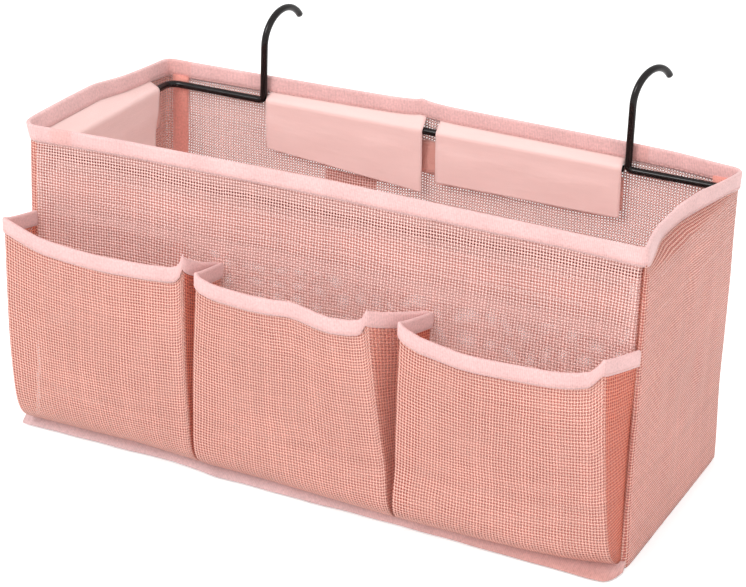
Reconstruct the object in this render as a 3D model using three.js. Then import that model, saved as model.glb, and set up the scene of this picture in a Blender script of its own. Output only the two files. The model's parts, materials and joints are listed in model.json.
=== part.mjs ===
// Bedside caddy: an open box of coated mesh cloth with three bellows pockets, held up by a bent
// wire frame whose two hooks hang over a bed rail. Five cloth flaps close round the wire.
// Millimetres, +Z up, the pockets face -Y. The origin is the centre of the floor's underside.

import * as THREE from 'three';

// Bag
const bagLength = 400;
const bagDepth = 166;
const bagHeight = 200;
const cornerRadius = 5;
const clothThickness = 0.8;
const clearance = 0.3;

// Tapes sewn on the bag
const bindingThickness = 0.6;
const rimBindingHeight = 11.5;
const pocketBindingHeight = 9;
const seamTapeWidth = 11.5;
const seamTapeThickness = 1.4;
const floorTapeHeight = 9;
const fastenerWidth = 22;
const fastenerThickness = 1.3;
const fastenerMargin = 6;
const hemReach = 10;
const hemRise = 5;
const hemThickness = 2.2;
const patchLength = 36;
const patchHeight = 22;
const patchTop = 141;
const patchOffset = -63;

// Pockets, three in one pleated strip
const pocketCount = 3;
const pocketTop = 137;
const pocketDepth = 30;
const pocketHemDepth = 3;
const pocketBulge = 4;
const pocketCornerLift = 8;
const pocketMidSag = 4;
const pocketFoldRadius = 4;
const pocketLeanShare = 0.15;
// How far each pocket's right-hand side leans in, as a share of the pocket's depth.
const pocketTuckShares = [0.29, 0.72, 0.32];

// Wire frame
const wireDiameter = 4.6;
const wireDrop = 17;
const wireBendRadius = 9;
const hookSpacing = 254;
const hookOffset = 2.4;
const hookWrap = THREE.MathUtils.degToRad(142);
// The two hooks are bent by hand, and differ a little in leg, bend and direction.
const leftHook = { side: -1, rise: 36.5, radius: 21.5, turn: THREE.MathUtils.degToRad(9) };
const rightHook = { side: 1, rise: 41.5, radius: 19.8, turn: THREE.MathUtils.degToRad(18) };

// Flaps
const flapThickness = 0.5;
const flapLength = 45;
const flapSlack = 0.6;
const flapSideMargin = 12.5;
const flapGap = 9.5;
const flapGapOffset = -4.2;

// Facets
const wireSides = 12;
const bendSteps = 6;
const hookSteps = 12;
const frontSteps = 12;
const foldSteps = 3;
const pocketRows = 8;

// Sizes that follow from those above
const wireRadius = wireDiameter / 2;
const halfLength = bagLength / 2;
const halfDepth = bagDepth / 2;
const wallX = halfLength - clothThickness;
const wallY = halfDepth - clothThickness;
const wallFoot = clothThickness + clearance;
const wallHead = bagHeight - bindingThickness - clearance;
const bindingWidth = clothThickness + 2 * (clearance + bindingThickness);
const underRim = bagHeight - rimBindingHeight - clearance;
const wireInset = clearance + seamTapeThickness + clearance + wireRadius;
const wireHeight = bagHeight - wireDrop;
const seamX = halfLength - clothThickness / 2 - cornerRadius;
const flapHingeInset = clearance + bindingThickness + clearance + flapThickness / 2;
const cornerTapeEnd = halfDepth - clothThickness / 2 - cornerRadius;
const floorTapeTop = wallFoot + floorTapeHeight;

// A closed body from corner points and triangles, turned so that its faces point out.
function closedBody(corners, triangles) {
  const volume = triangles.reduce((sum, [a, b, c]) => {
    const normal = new THREE.Vector3().crossVectors(corners[b], corners[c]);
    return sum + corners[a].dot(normal);
  }, 0);
  const facing = volume < 0 ? triangles.map(([a, b, c]) => [a, c, b]) : triangles;
  const geometry = new THREE.BufferGeometry().setFromPoints(corners);
  geometry.setIndex(facing.flat());
  geometry.computeVertexNormals();
  return geometry;
}

// Joins rings of equal length into a tube, closed on itself or with a flat cap at each end.
function loft(rings, closed) {
  const around = rings[0].length;
  const spans = closed ? rings.length : rings.length - 1;
  const triangles = [];
  for (let ring = 0; ring < spans; ring++) {
    const here = ring * around;
    const there = ((ring + 1) % rings.length) * around;
    for (let side = 0; side < around; side++) {
      const next = (side + 1) % around;
      triangles.push([here + side, here + next, there + next]);
      triangles.push([here + side, there + next, there + side]);
    }
  }
  if (!closed) {
    const last = (rings.length - 1) * around;
    const outline = flatten(rings[0]);
    for (const [a, b, c] of THREE.ShapeUtils.triangulateShape(outline, [])) {
      triangles.push([a, c, b]);
      triangles.push([last + a, last + b, last + c]);
    }
  }
  return closedBody(rings.flat(), triangles);
}

// A flat ring's points in the plane that it lies in, for its cap.
function flatten(ring) {
  const centre = ring.reduce((sum, p) => sum.clone().add(p), new THREE.Vector3());
  centre.divideScalar(ring.length);
  const normal = new THREE.Vector3();
  ring.forEach((p, i) => {
    const q = ring[(i + 1) % ring.length];
    normal.add(new THREE.Vector3().crossVectors(p.clone().sub(centre), q.clone().sub(centre)));
  });
  normal.normalize();
  const across = ring[1].clone().sub(ring[0]).normalize();
  const up = new THREE.Vector3().crossVectors(normal, across);
  return ring.map((p) => new THREE.Vector2(p.dot(across), p.dot(up)));
}

// The side vector at each point of a plan path, mitred, so that offsets keep their width.
function mitres(path) {
  const normals = path.slice(1).map((p, i) => {
    const run = new THREE.Vector2(p.x - path[i].x, p.y - path[i].y).normalize();
    return new THREE.Vector2(-run.y, run.x);
  });
  return path.map((_, i) => {
    const before = normals[Math.max(i - 1, 0)];
    const after = normals[Math.min(i, normals.length - 1)];
    const mitre = before.clone().add(after);
    return mitre.divideScalar(1 + before.dot(after));
  });
}

// The outline of a strip of the given thickness along an open path.
function stripShape(path, thickness) {
  const sides = mitres(path);
  const left = path.map((p, i) => p.clone().addScaledVector(sides[i], thickness / 2));
  const right = path.map((p, i) => p.clone().addScaledVector(sides[i], -thickness / 2));
  return new THREE.Shape([...left, ...right.reverse()]);
}

function extrude(shape, depth) {
  return new THREE.ExtrudeGeometry(shape, { depth, bevelEnabled: false, curveSegments: bendSteps });
}

function arcPoints(centre, radius, from, to, steps) {
  return Array.from({ length: steps + 1 }, (_, i) => {
    const angle = from + ((to - from) * i) / steps;
    return new THREE.Vector2(centre.x + radius * Math.cos(angle), centre.y + radius * Math.sin(angle));
  });
}

// A rectangle with round corners, as a closed path of points that starts in the middle of a side.
function roundedPath(halfX, halfY, radius) {
  const points = [new THREE.Vector2(0, -halfY)];
  const corners = [
    [1, -1],
    [1, 1],
    [-1, 1],
    [-1, -1],
  ];
  corners.forEach(([x, y], quarter) => {
    const centre = new THREE.Vector2(x * (halfX - radius), y * (halfY - radius));
    const start = ((quarter - 1) * Math.PI) / 2;
    points.push(...arcPoints(centre, radius, start, start + Math.PI / 2, bendSteps));
  });
  return points;
}

// Folded tape in section: two legs and a rounded top over the cloth's edge, from its foot up.
function bindingSection(height) {
  const inner = bindingWidth / 2 - bindingThickness;
  const outer = bindingWidth / 2;
  const shoulder = outer - bindingThickness / 2;
  const top = height;
  return [
    [-outer, 0],
    [-inner, 0],
    [-inner, top - bindingThickness],
    [inner, top - bindingThickness],
    [inner, 0],
    [outer, 0],
    [outer, top - bindingThickness / 2],
    [shoulder, top],
    [-shoulder, top],
    [-outer, top - bindingThickness / 2],
  ];
}

// Side vectors for a closed path.
function loopMitres(path) {
  return mitres([path[path.length - 1], ...path, path[0]]).slice(1, -1);
}

// Carries an upright section along a plan path, with its foot at the height given for each point.
function uprightSweep(path, sides, heights, section, closed) {
  const rings = path.map((p, i) =>
    section.map(([side, up]) => {
      const plan = p.clone().addScaledVector(sides[i], side);
      return new THREE.Vector3(plan.x, plan.y, heights[i] + up);
    }),
  );
  return loft(rings, closed);
}

// Carries a round wire along a path. Each ring is pushed along its run on to the plane that
// halves the bend, so that sharp corners come out mitred.
function roundSweep(path, radius) {
  const runs = path.slice(1).map((p, i) => p.clone().sub(path[i]).normalize());
  const across = new THREE.Vector3(-runs[0].y, runs[0].x, 0);
  if (across.length() < radius / bagLength) across.set(1, 0, 0);
  across.normalize();
  const up = new THREE.Vector3().crossVectors(runs[0], across);
  let ring = Array.from({ length: wireSides }, (_, side) => {
    const angle = (2 * Math.PI * side) / wireSides;
    const spoke = across.clone().multiplyScalar(Math.cos(angle)).addScaledVector(up, Math.sin(angle));
    return path[0].clone().addScaledVector(spoke, radius);
  });
  const rings = [ring];
  runs.forEach((run, i) => {
    const next = runs[i + 1] ?? run;
    const plane = run.clone().add(next);
    ring = ring.map((point) => {
      const travel = path[i + 1].clone().sub(point).dot(plane) / run.dot(plane);
      return point.clone().addScaledVector(run, travel);
    });
    rings.push(ring);
  });
  return loft(rings, false);
}

// Cloth, tape and wire finishes
function finish(colour, roughness, metalness = 0) {
  return () => new THREE.MeshStandardMaterial({ color: colour, roughness, metalness });
}
const meshCloth = finish(0xe8a196, 0.6);
const tape = finish(0xefc0c4, 0.8);
const fastener = finish(0xdd8f8a, 0.9);
const flapCloth = finish(0xf3cdc5, 0.75);
const blackPaint = finish(0x15110f, 0.3, 0.2);

function piece(name, geometry, material) {
  const mesh = new THREE.Mesh(geometry, material());
  mesh.name = name;
  return mesh;
}

// A wall's own frame: x runs inwards from its inner face, y up and z along the wall.
function wallFrame(inward, distance) {
  const up = new THREE.Vector3(0, 0, 1);
  const along = new THREE.Vector3().crossVectors(inward, up);
  const frame = new THREE.Group();
  frame.quaternion.setFromRotationMatrix(new THREE.Matrix4().makeBasis(inward, up, along));
  frame.position.copy(inward).multiplyScalar(-distance);
  return frame;
}

const walls = {
  front: wallFrame(new THREE.Vector3(0, 1, 0), wallY),
  back: wallFrame(new THREE.Vector3(0, -1, 0), wallY),
  left: wallFrame(new THREE.Vector3(1, 0, 0), wallX),
  right: wallFrame(new THREE.Vector3(-1, 0, 0), wallX),
};

// A flat tape on a wall, given its inner face, its foot, its height and its two ends.
function wallTape(name, material, { face, thickness, foot, height, from, to }) {
  const mesh = piece(name, new THREE.BoxGeometry(thickness, height, to - from), material);
  mesh.position.set(face + thickness / 2, foot + height / 2, (from + to) / 2);
  return mesh;
}

// Panels of the box. The side panels wrap round the corners and meet the front and back there.
function buildPanels() {
  const group = new THREE.Group();
  const height = wallHead - wallFoot;
  const middleX = halfLength - clothThickness / 2;
  const middleY = halfDepth - clothThickness / 2;
  for (const [name, y] of [
    ['front_panel', -middleY],
    ['back_panel', middleY],
  ]) {
    const width = 2 * (seamX - clearance);
    const panel = piece(name, new THREE.BoxGeometry(width, clothThickness, height), meshCloth);
    panel.position.set(0, y, wallFoot + height / 2);
    group.add(panel);
  }
  for (const [name, side] of [
    ['left_panel', -1],
    ['right_panel', 1],
  ]) {
    const turn = middleY - cornerRadius;
    const front = arcPoints(new THREE.Vector2(seamX, -turn), cornerRadius, -Math.PI / 2, 0, bendSteps);
    const back = arcPoints(new THREE.Vector2(seamX, turn), cornerRadius, 0, Math.PI / 2, bendSteps);
    const path = [...front, ...back].map((p) => new THREE.Vector2(side * p.x, p.y));
    const panel = piece(name, extrude(stripShape(path, clothThickness), height), meshCloth);
    panel.position.z = wallFoot;
    group.add(panel);
  }
  const floorOutline = roundedPath(halfLength, halfDepth, cornerRadius + clothThickness / 2);
  group.add(piece('floor_panel', extrude(new THREE.Shape(floorOutline), clothThickness), meshCloth));
  const rim = roundedPath(middleX, middleY, cornerRadius);
  const rimFoot = rim.map(() => bagHeight - rimBindingHeight);
  const rimSection = bindingSection(rimBindingHeight);
  const rimBinding = uprightSweep(rim, loopMitres(rim), rimFoot, rimSection, true);
  group.add(piece('rim_binding', rimBinding, tape));
  return group;
}

// Taped seam allowances inside the bag: one beside each corner and one round the floor.
function addSeamTapes(group) {
  const corner = {
    face: clearance,
    thickness: seamTapeThickness,
    foot: floorTapeTop + clearance,
    height: underRim - floorTapeTop - clearance,
  };
  const backEnd = seamX - clearance;
  walls.back.add(
    wallTape('corner_tape_back_left', tape, { ...corner, from: backEnd - seamTapeWidth, to: backEnd }),
    wallTape('corner_tape_back_right', tape, { ...corner, from: -backEnd, to: seamTapeWidth - backEnd }),
  );
  walls.left.add(
    wallTape('corner_tape_front_left', tape, { ...corner, from: cornerTapeEnd - seamTapeWidth, to: cornerTapeEnd }),
  );
  walls.right.add(
    wallTape('corner_tape_front_right', tape, { ...corner, from: -cornerTapeEnd, to: seamTapeWidth - cornerTapeEnd }),
  );
  const inset = clearance + seamTapeThickness / 2;
  const turn = cornerRadius;
  const x = wallX - inset;
  const y = wallY - inset;
  const path = [
    new THREE.Vector2(x, cornerRadius - wallY),
    ...arcPoints(new THREE.Vector2(x - turn, y - turn), turn, 0, Math.PI / 2, bendSteps),
    ...arcPoints(new THREE.Vector2(turn - x, y - turn), turn, Math.PI / 2, Math.PI, bendSteps),
    new THREE.Vector2(-x, cornerRadius - wallY),
  ];
  const floorTape = extrude(stripShape(path, seamTapeThickness), floorTapeHeight);
  const mesh = piece('floor_seam_tape', floorTape, tape);
  mesh.position.z = wallFoot;
  group.add(mesh);
}

// The taped front hem, which lies out from the foot of the front on the surface below.
function buildHem() {
  const root = -halfDepth - clearance;
  const outline = [
    new THREE.Vector2(root, hemRise),
    new THREE.Vector2(root, hemRise - hemThickness),
    new THREE.Vector2(root - hemReach, clearance),
    new THREE.Vector2(root - hemReach - hemThickness / 2, clearance + hemThickness / 2),
    new THREE.Vector2(root - hemReach, clearance + hemThickness),
  ];
  const hem = piece('front_hem_binding', extrude(new THREE.Shape(outline), bagLength), tape);
  const along = new THREE.Vector3(1, 0, 0);
  const out = new THREE.Vector3(0, 1, 0);
  const up = new THREE.Vector3(0, 0, 1);
  hem.quaternion.setFromRotationMatrix(new THREE.Matrix4().makeBasis(out, up, along));
  hem.position.x = -halfLength;
  return hem;
}

// One pocket's line across at a share of its height: in at a seam, forward along the side fold,
// across the front and back to the next seam. Near the hem it lies almost flat on the wall.
function pocketPlan(index, share) {
  const pitch = bagLength / pocketCount;
  const left = index * pitch - halfLength + bindingWidth / 2 + (index > 0 ? clearance : 0);
  const lastPocket = index === pocketCount - 1;
  const right = (index + 1) * pitch - halfLength - bindingWidth / 2 - (lastPocket ? 0 : clearance);
  const fullness = 1 - (1 - share) ** 7;
  const tuck = pocketDepth * (1 - (1 - share) ** 3);
  const wall = -halfDepth - clearance;
  const front = wall - pocketHemDepth - (pocketDepth - pocketHemDepth) * fullness;
  const foldRadius = Math.min(pocketFoldRadius, (wall - front) / 2);
  const foldLeft = new THREE.Vector2(left - pocketLeanShare * tuck, front);
  const foldRight = new THREE.Vector2(right - pocketTuckShares[index] * tuck, front);
  const startWall = new THREE.Vector2(left, wall);
  const endWall = new THREE.Vector2(right, wall);
  const towards = (from, to) => to.clone().sub(from).normalize();
  const fold = (corner, before, after) => {
    const start = corner.clone().addScaledVector(towards(corner, before), foldRadius);
    const end = corner.clone().addScaledVector(towards(corner, after), foldRadius);
    return new THREE.QuadraticBezierCurve(start, corner, end).getPoints(foldSteps);
  };
  const firstFold = fold(foldLeft, startWall, foldRight);
  const lastFold = fold(foldRight, foldLeft, endWall);
  const run = [];
  for (let step = 1; step < frontSteps; step++) {
    const across = step / frontSteps;
    const point = firstFold[foldSteps].clone().lerp(lastFold[0], across);
    point.y -= pocketBulge * fullness * Math.sin(Math.PI * across) ** 2;
    run.push(point);
  }
  return [startWall, ...firstFold, ...run, ...lastFold, endWall];
}

// Height of the pocket's edge along its plan: up at the front folds and down in the middle.
function pocketEdge(index) {
  const plan = pocketPlan(index, 1);
  const foldEnd = foldSteps + 1;
  const last = plan.length - 1;
  return plan.map((_, i) => {
    if (i === 0 || i === last) return pocketTop;
    const across = THREE.MathUtils.clamp((i - foldEnd) / (last - 2 * foldEnd), 0, 1);
    const dip = (pocketCornerLift + pocketMidSag) * Math.sin(Math.PI * across);
    return pocketTop + pocketCornerLift - dip;
  });
}

// A pocket's side vectors, with its two ends cut flat against the wall.
function pocketSides(plan) {
  const sides = mitres(plan);
  for (const end of [sides[0], sides[sides.length - 1]]) end.set(1 / end.x, 0);
  return sides;
}

function buildPocket(index, name) {
  const edge = pocketEdge(index);
  const foot = hemRise + clearance;
  const rows = Array.from({ length: pocketRows + 1 }, (_, row) => (row / pocketRows) ** 2);
  const plans = rows.map((share) => {
    const plan = pocketPlan(index, share);
    return { plan, sides: pocketSides(plan) };
  });
  const cloth = edge.map((top, i) => {
    const rise = top - bindingThickness - clearance - foot;
    const point = (row, side) => {
      const { plan, sides } = plans[row];
      const p = plan[i].clone().addScaledVector(sides[i], (side * clothThickness) / 2);
      return new THREE.Vector3(p.x, p.y, foot + rise * rows[row]);
    };
    const up = rows.map((_, row) => point(row, 1));
    const down = rows.map((_, row) => point(pocketRows - row, -1));
    return [...up, ...down];
  });
  const section = bindingSection(pocketBindingHeight);
  const { plan, sides } = plans[pocketRows];
  const feet = edge.map((top) => top - pocketBindingHeight);
  const binding = uprightSweep(plan, sides, feet, section, false);
  return [
    piece(`pocket_${name}`, loftStrip(cloth), meshCloth),
    piece(`pocket_binding_${name}`, binding, tape),
  ];
}

// Joins a strip's ribs, each up one face and down the other, and closes its two ends with quads.
function loftStrip(ribs) {
  const around = ribs[0].length;
  const triangles = [];
  for (let rib = 0; rib < ribs.length - 1; rib++) {
    const here = rib * around;
    const there = here + around;
    for (let side = 0; side < around; side++) {
      const next = (side + 1) % around;
      triangles.push([here + side, here + next, there + next]);
      triangles.push([here + side, there + next, there + side]);
    }
  }
  const last = (ribs.length - 1) * around;
  for (let row = 0; row < around / 2 - 1; row++) {
    const mirror = around - 1 - row;
    triangles.push([row, mirror, row + 1], [row + 1, mirror, mirror - 1]);
    triangles.push([last + row, last + row + 1, last + mirror]);
    triangles.push([last + row + 1, last + mirror - 1, last + mirror]);
  }
  return closedBody(ribs.flat(), triangles);
}

// One hook's centre line, from where the frame turns up to its tip.
function hookLine({ side, rise, radius, turn }) {
  const foot = new THREE.Vector3(hookOffset + (side * hookSpacing) / 2, wallY - wireInset, wireHeight);
  const outwards = new THREE.Vector3(Math.sin(turn), Math.cos(turn), 0);
  const points = [foot];
  for (let step = 0; step <= hookSteps; step++) {
    const angle = (hookWrap * step) / hookSteps;
    const point = foot.clone().addScaledVector(outwards, radius * (1 - Math.cos(angle)));
    point.z += rise + radius * Math.sin(angle);
    points.push(point);
  }
  return points;
}

// The frame is one wire: down a hook, out to the corner, round the bag and up the other hook.
// A straight bar closes the gap between the two hooks.
function buildFrame() {
  const halfX = wallX - wireInset;
  const halfY = wallY - wireInset;
  const ring = roundedPath(halfX, halfY, wireBendRadius).slice(1);
  const corner = bendSteps + 1;
  const ordered = [...ring.slice(2 * corner), ...ring.slice(0, 2 * corner)];
  const round = ordered.map((p) => new THREE.Vector3(p.x, p.y, wireHeight));
  const path = [...hookLine(leftHook).reverse(), ...round, ...hookLine(rightHook)];
  const barLength = hookSpacing - 2 * (wireRadius + clearance);
  const bar = new THREE.CylinderGeometry(wireRadius, wireRadius, barLength, wireSides);
  const crossbar = piece('frame_crossbar', bar, blackPaint);
  crossbar.rotation.z = Math.PI / 2;
  crossbar.position.set(hookOffset, halfY, wireHeight);
  return [piece('frame_wire', roundSweep(path, wireRadius), blackPaint), crossbar];
}

// A flap in section, in its wall's frame: from under the rim binding over the wire, round its
// inner side and back to the wall, where it hangs in front of the fastener tape.
function flapSection() {
  const hinge = new THREE.Vector2(flapHingeInset, underRim - flapThickness / 2);
  const wire = new THREE.Vector2(wireInset, wireHeight);
  const wrap = wireRadius + flapThickness / 2 + flapSlack;
  const over = arcPoints(wire, wrap, Math.PI / 3, -Math.PI / 4.5, bendSteps);
  const hang = 3 * clearance + 2 * fastenerThickness + flapThickness / 2;
  const below = wireHeight - 2 * wrap - flapThickness;
  return [
    hinge,
    ...over,
    new THREE.Vector2(hang, below),
    new THREE.Vector2(hang, hinge.y - flapLength),
  ];
}

// Adds a flap with the hook tape on its outer face, between two places along a wall.
function addFlap(wall, name, from, to) {
  const shape = stripShape(flapSection(), flapThickness);
  const flap = piece(`${name}_flap`, extrude(shape, to - from), flapCloth);
  flap.position.z = from;
  const top = wireHeight - 2 * (wireRadius + flapSlack + flapThickness) - flapThickness;
  const hookTape = wallTape(`${name}_hook_tape`, fastener, {
    face: 2 * clearance + fastenerThickness,
    thickness: fastenerThickness,
    foot: top - fastenerWidth,
    height: fastenerWidth,
    from: from + fastenerMargin,
    to: to - fastenerMargin,
  });
  wall.add(flap, hookTape);
  return top;
}

function addLoopTape(wall, name, top, from, to) {
  wall.add(
    wallTape(`${name}_loop_tape`, fastener, {
      face: clearance,
      thickness: fastenerThickness,
      foot: top - fastenerWidth,
      height: fastenerWidth,
      from,
      to,
    }),
  );
}

// Flaps and the loop tapes that they close on. Along the back wall, z runs towards the left.
function addFlaps() {
  const frontEnd = halfLength - flapSideMargin;
  const sideBack = halfDepth - flapSideMargin;
  const sideFront = cornerTapeEnd - seamTapeWidth - clearance;
  const hookRoom = wireRadius + 3 * clearance;
  const backLeft = hookSpacing / 2 - hookOffset - hookRoom;
  const backRight = hookSpacing / 2 + hookOffset - hookRoom;
  const top = addFlap(walls.front, 'front', -frontEnd, frontEnd);
  addFlap(walls.back, 'back_left', flapGap / 2 - flapGapOffset, backLeft);
  addFlap(walls.back, 'back_right', -backRight, -flapGap / 2 - flapGapOffset);
  addFlap(walls.left, 'left', -sideBack, sideFront);
  addFlap(walls.right, 'right', -sideFront, sideBack);
  addLoopTape(walls.front, 'front', top, -frontEnd, frontEnd);
  addLoopTape(walls.back, 'back', top, -backRight, backLeft);
  addLoopTape(walls.left, 'left', top, -sideBack, sideFront);
  addLoopTape(walls.right, 'right', top, -sideFront, sideBack);
}

// A plain patch sewn on the outside of the back.
function addPatch() {
  const face = -clothThickness - clearance - bindingThickness;
  walls.back.add(
    wallTape('back_patch', fastener, {
      face,
      thickness: bindingThickness,
      foot: patchTop - patchHeight,
      height: patchHeight,
      from: -patchOffset - patchLength / 2,
      to: -patchOffset + patchLength / 2,
    }),
  );
}

const caddy = buildPanels();
addSeamTapes(caddy);
addFlaps();
addPatch();
['left', 'middle', 'right'].forEach((name, index) => caddy.add(...buildPocket(index, name)));
caddy.add(...Object.values(walls), buildHem(), ...buildFrame());

export default caddy;
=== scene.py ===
"""A bedside caddy: pleated mesh cloth, folded tape and bent wire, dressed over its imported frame.

Metres, +Z up, pockets towards -Y. Each operator makes one group of pieces, and the Caddy panel in
the 3D view's sidebar lists them all with the sizes and colours that they use.
"""

import json
import math
from typing import NamedTuple

import bpy
import numpy as np
from mathutils import Matrix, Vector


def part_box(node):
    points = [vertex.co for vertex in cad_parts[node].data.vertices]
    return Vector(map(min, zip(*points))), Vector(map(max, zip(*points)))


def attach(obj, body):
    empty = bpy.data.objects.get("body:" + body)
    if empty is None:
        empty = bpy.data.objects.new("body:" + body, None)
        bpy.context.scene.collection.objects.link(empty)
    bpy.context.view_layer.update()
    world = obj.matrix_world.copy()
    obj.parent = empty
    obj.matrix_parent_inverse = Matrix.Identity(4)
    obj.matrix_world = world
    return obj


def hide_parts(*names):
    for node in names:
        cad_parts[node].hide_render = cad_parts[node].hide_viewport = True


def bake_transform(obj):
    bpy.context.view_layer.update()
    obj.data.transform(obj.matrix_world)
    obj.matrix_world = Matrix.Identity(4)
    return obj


bl_info = {
    "name": "Bedside caddy",
    "version": (1, 0, 0),
    "blender": (4, 5, 0),
    "location": "3D View > Sidebar > Caddy",
    "description": "Sews a mesh caddy with bellows pockets round its wire frame",
    "category": "Object",
}

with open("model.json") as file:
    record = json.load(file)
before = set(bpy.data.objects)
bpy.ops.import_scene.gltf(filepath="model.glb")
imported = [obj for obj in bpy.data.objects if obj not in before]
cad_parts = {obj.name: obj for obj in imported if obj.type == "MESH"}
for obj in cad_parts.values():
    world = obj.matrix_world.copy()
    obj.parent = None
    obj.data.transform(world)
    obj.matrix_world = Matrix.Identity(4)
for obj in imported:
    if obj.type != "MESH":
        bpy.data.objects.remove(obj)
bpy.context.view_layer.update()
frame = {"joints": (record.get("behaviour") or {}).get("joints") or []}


def node_box(node):
    """The low and the high corner of a CAD node's box."""
    return np.array(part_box(node))


# The frame's own places
PANEL_HIGH = node_box("floor_panel")[1]
WIRE_LOW, WIRE_HIGH = node_box("frame_crossbar")
HALF_LENGTH = float(PANEL_HIGH[0])
HALF_DEPTH = float(PANEL_HIGH[1])
CLOTH = float(PANEL_HIGH[2])
RIM_TOP = float(node_box("rim_binding")[1][2])
WIRE_HEIGHT = float(WIRE_LOW[2] + WIRE_HIGH[2]) / 2
WIRE_RADIUS = float(WIRE_HIGH[2] - WIRE_LOW[2]) / 2
WIRE_Y = float(WIRE_LOW[1] + WIRE_HIGH[1]) / 2
HINGES = {joint["child"]: joint for joint in frame["joints"]}
UP = np.array([0.0, 0.0, 1.0])

# Sizes are in metres. Shares, powers, seeds and numbers of points have no unit

# Corners and the seams near them, where a wall's edge turns in or laps behind the next wall's
CLEARANCE = 0.0003
FRONT_Y = -HALF_DEPTH - CLEARANCE
CORNER_RADIUS = 0.006
CORNER_STEPS = 7
SEAM_FROM_CORNER = 0.0034
BACK_SEAM_FROM_CORNER = 0.0075
SEAM_CORNER_RADIUS = 0.003
SEAM_DEPTH = 0.0026
SEAM_REACH = 0.0021
SEAM_GAP = 0.00026
BACK_SEAM_SHARE = 0.15
LAP = 0.004
LAP_GAP = 0.0006

# Folded tape, with its foot and its waist on each face as shares of its half width
TAPE = 0.0007
HALF_BINDING = 0.0015
BINDING_STEPS = 9
BINDING_WAIST_SHARE = 1 / 3
BINDING_OUTSIDE_SHARES = (0.72, 0.95)
BINDING_INSIDE_SHARES = (0.55, 0.9)

# Distances between a grid's points, and numbers of them
GRID = 0.004
FINE_GRID = 0.0015
FOLD_GRID = 0.0007
BEND_ROWS = 9
TAPE_ROWS = 5
FLOOR_SEAM_ROWS = 5
PATCH_COLUMNS = 19
PATCH_ROWS = 12
STRIP_COLUMNS = 4
STRIP_ROWS = 6

# Unevenness of cloth, and a wall's swell, waves and folds
WAVES = 8
WAVE_RATE_SHARES = (0.6, 1.6)
WAVE_SHARE = 0.25
WALL_SWELL_POWER = 0.7
WALL_WAVE = 0.14
WALL_WAVE_SHARE = 0.5
WALL_FOLD = 0.05
WALL_FOLD_SHARE = 0.4
WALL_FOLD_STRETCH_SHARES = (1.3, 0.8)
WALL_FOLD_SEED = 60
FLOOR_ROUND_SHARE = 0.3
FLOOR_ROUND_POWERS = (40, 90)

# The rim where it turns round the box: (turn in degrees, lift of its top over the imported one, foot
# inwards, top inwards, width of its tape)
RIM_KNOTS = (
    (-180, 0.003, -0.0035, -0.0065, 0.0115),
    (-160, 0.003, -0.0035, -0.0072, 0.0115),
    (-140, 0.003, -0.0035, -0.007, 0.0115),
    (-135, 0.0035, -0.003, -0.005, 0.011),
    (-125, 0.0035, -0.001, -0.001, 0.0098),
    (-90, 0.0035, 0, 0.002, 0.0098),
    (-50, 0.0018, 0, 0.001, 0.0098),
    (-46, 0.001, 0.0005, 0.0018, 0.011),
    (-41, 0.0012, 0.0025, 0.0043, 0.0115),
    (-37, 0.0014, 0.0042, 0.006, 0.0115),
    (-30, 0.0015, 0.0075, 0.0077, 0.0112),
    (-24, 0.0015, 0.0089, 0.0079, 0.011),
    (-16, 0.0015, 0.009, 0.0079, 0.011),
    (-6, 0.0015, 0.0086, 0.0079, 0.0112),
    (5, 0.0013, 0.007, 0.0066, 0.0115),
    (16, 0.0008, 0.0048, 0.0047, 0.0115),
    (27, -0.0008, 0.003, 0.0014, 0.0115),
    (38, -0.0025, 0.001, -0.0015, 0.0115),
    (42, -0.0045, -0.0005, -0.001, 0.0115),
    (46, -0.005, -0.001, -0.001, 0.0115),
    (50, -0.0015, 0, 0, 0.0115),
    (60, -0.0005, 0, 0, 0.0115),
    (95, 0.0008, 0, 0, 0.0115),
    (135, -0.0022, 0, -0.001, 0.0115),
    (143, -0.001, -0.0005, -0.0008, 0.0115),
    (160, 0, -0.002, -0.0035, 0.0115),
)
RIM_EASE_DEGREES = 3
RIM_EASE_STEPS = 7

# Where the rim tape's ends overlap, as (x, y, reach)
RIM_JOINS = ((-0.1775, -0.0826, 0.0075), (-0.19, 0.0826, 0.0095), (0.1355, 0.0826, 0.0055))
JOIN_TINT_SHARE = 0.22
JOIN_EDGE_SHARE = 0.15

# Heights from which and to which a wall's lean grows, the right wall's foot, and the back's crease
LEFT_LEAN = (0.03, 0.15)
RIGHT_LEAN = (0.183, 0.1905)
BEND_SHARE = 0.06
FOOT_LEAN_START = 0.06
FOOT_LEAN = 0.0016
CREASE_X = -0.013
CREASE_LIFT = 0.0022
CREASE_REACH = 0.007

# Stitches
STITCH_LENGTH = 0.0026
STITCH_PITCH = 0.0032
STITCH_RADIUS = 0.00022
STITCH_FROM_EDGE = 0.0014
STITCH_SINK_SHARE = 0.86
STITCH_STATION_SHARES = (-0.5, -0.38, -0.15, 0.15, 0.38, 0.5)
STITCH_WIDTH_SHARES = (0.25, 0.8, 1.0, 1.0, 0.8, 0.25)
STITCH_SIDES = 6


class Pocket(NamedTuple):
    """Where one pocket is sewn and folds, how high its edge stands, in metres, and how far its
    gussets' colour is deepened, as painted shade in their folds along with their double layer."""

    seams: tuple
    left_fold: tuple
    right_fold: tuple
    wall_heights: tuple
    tint: float
    edge: tuple


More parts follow.
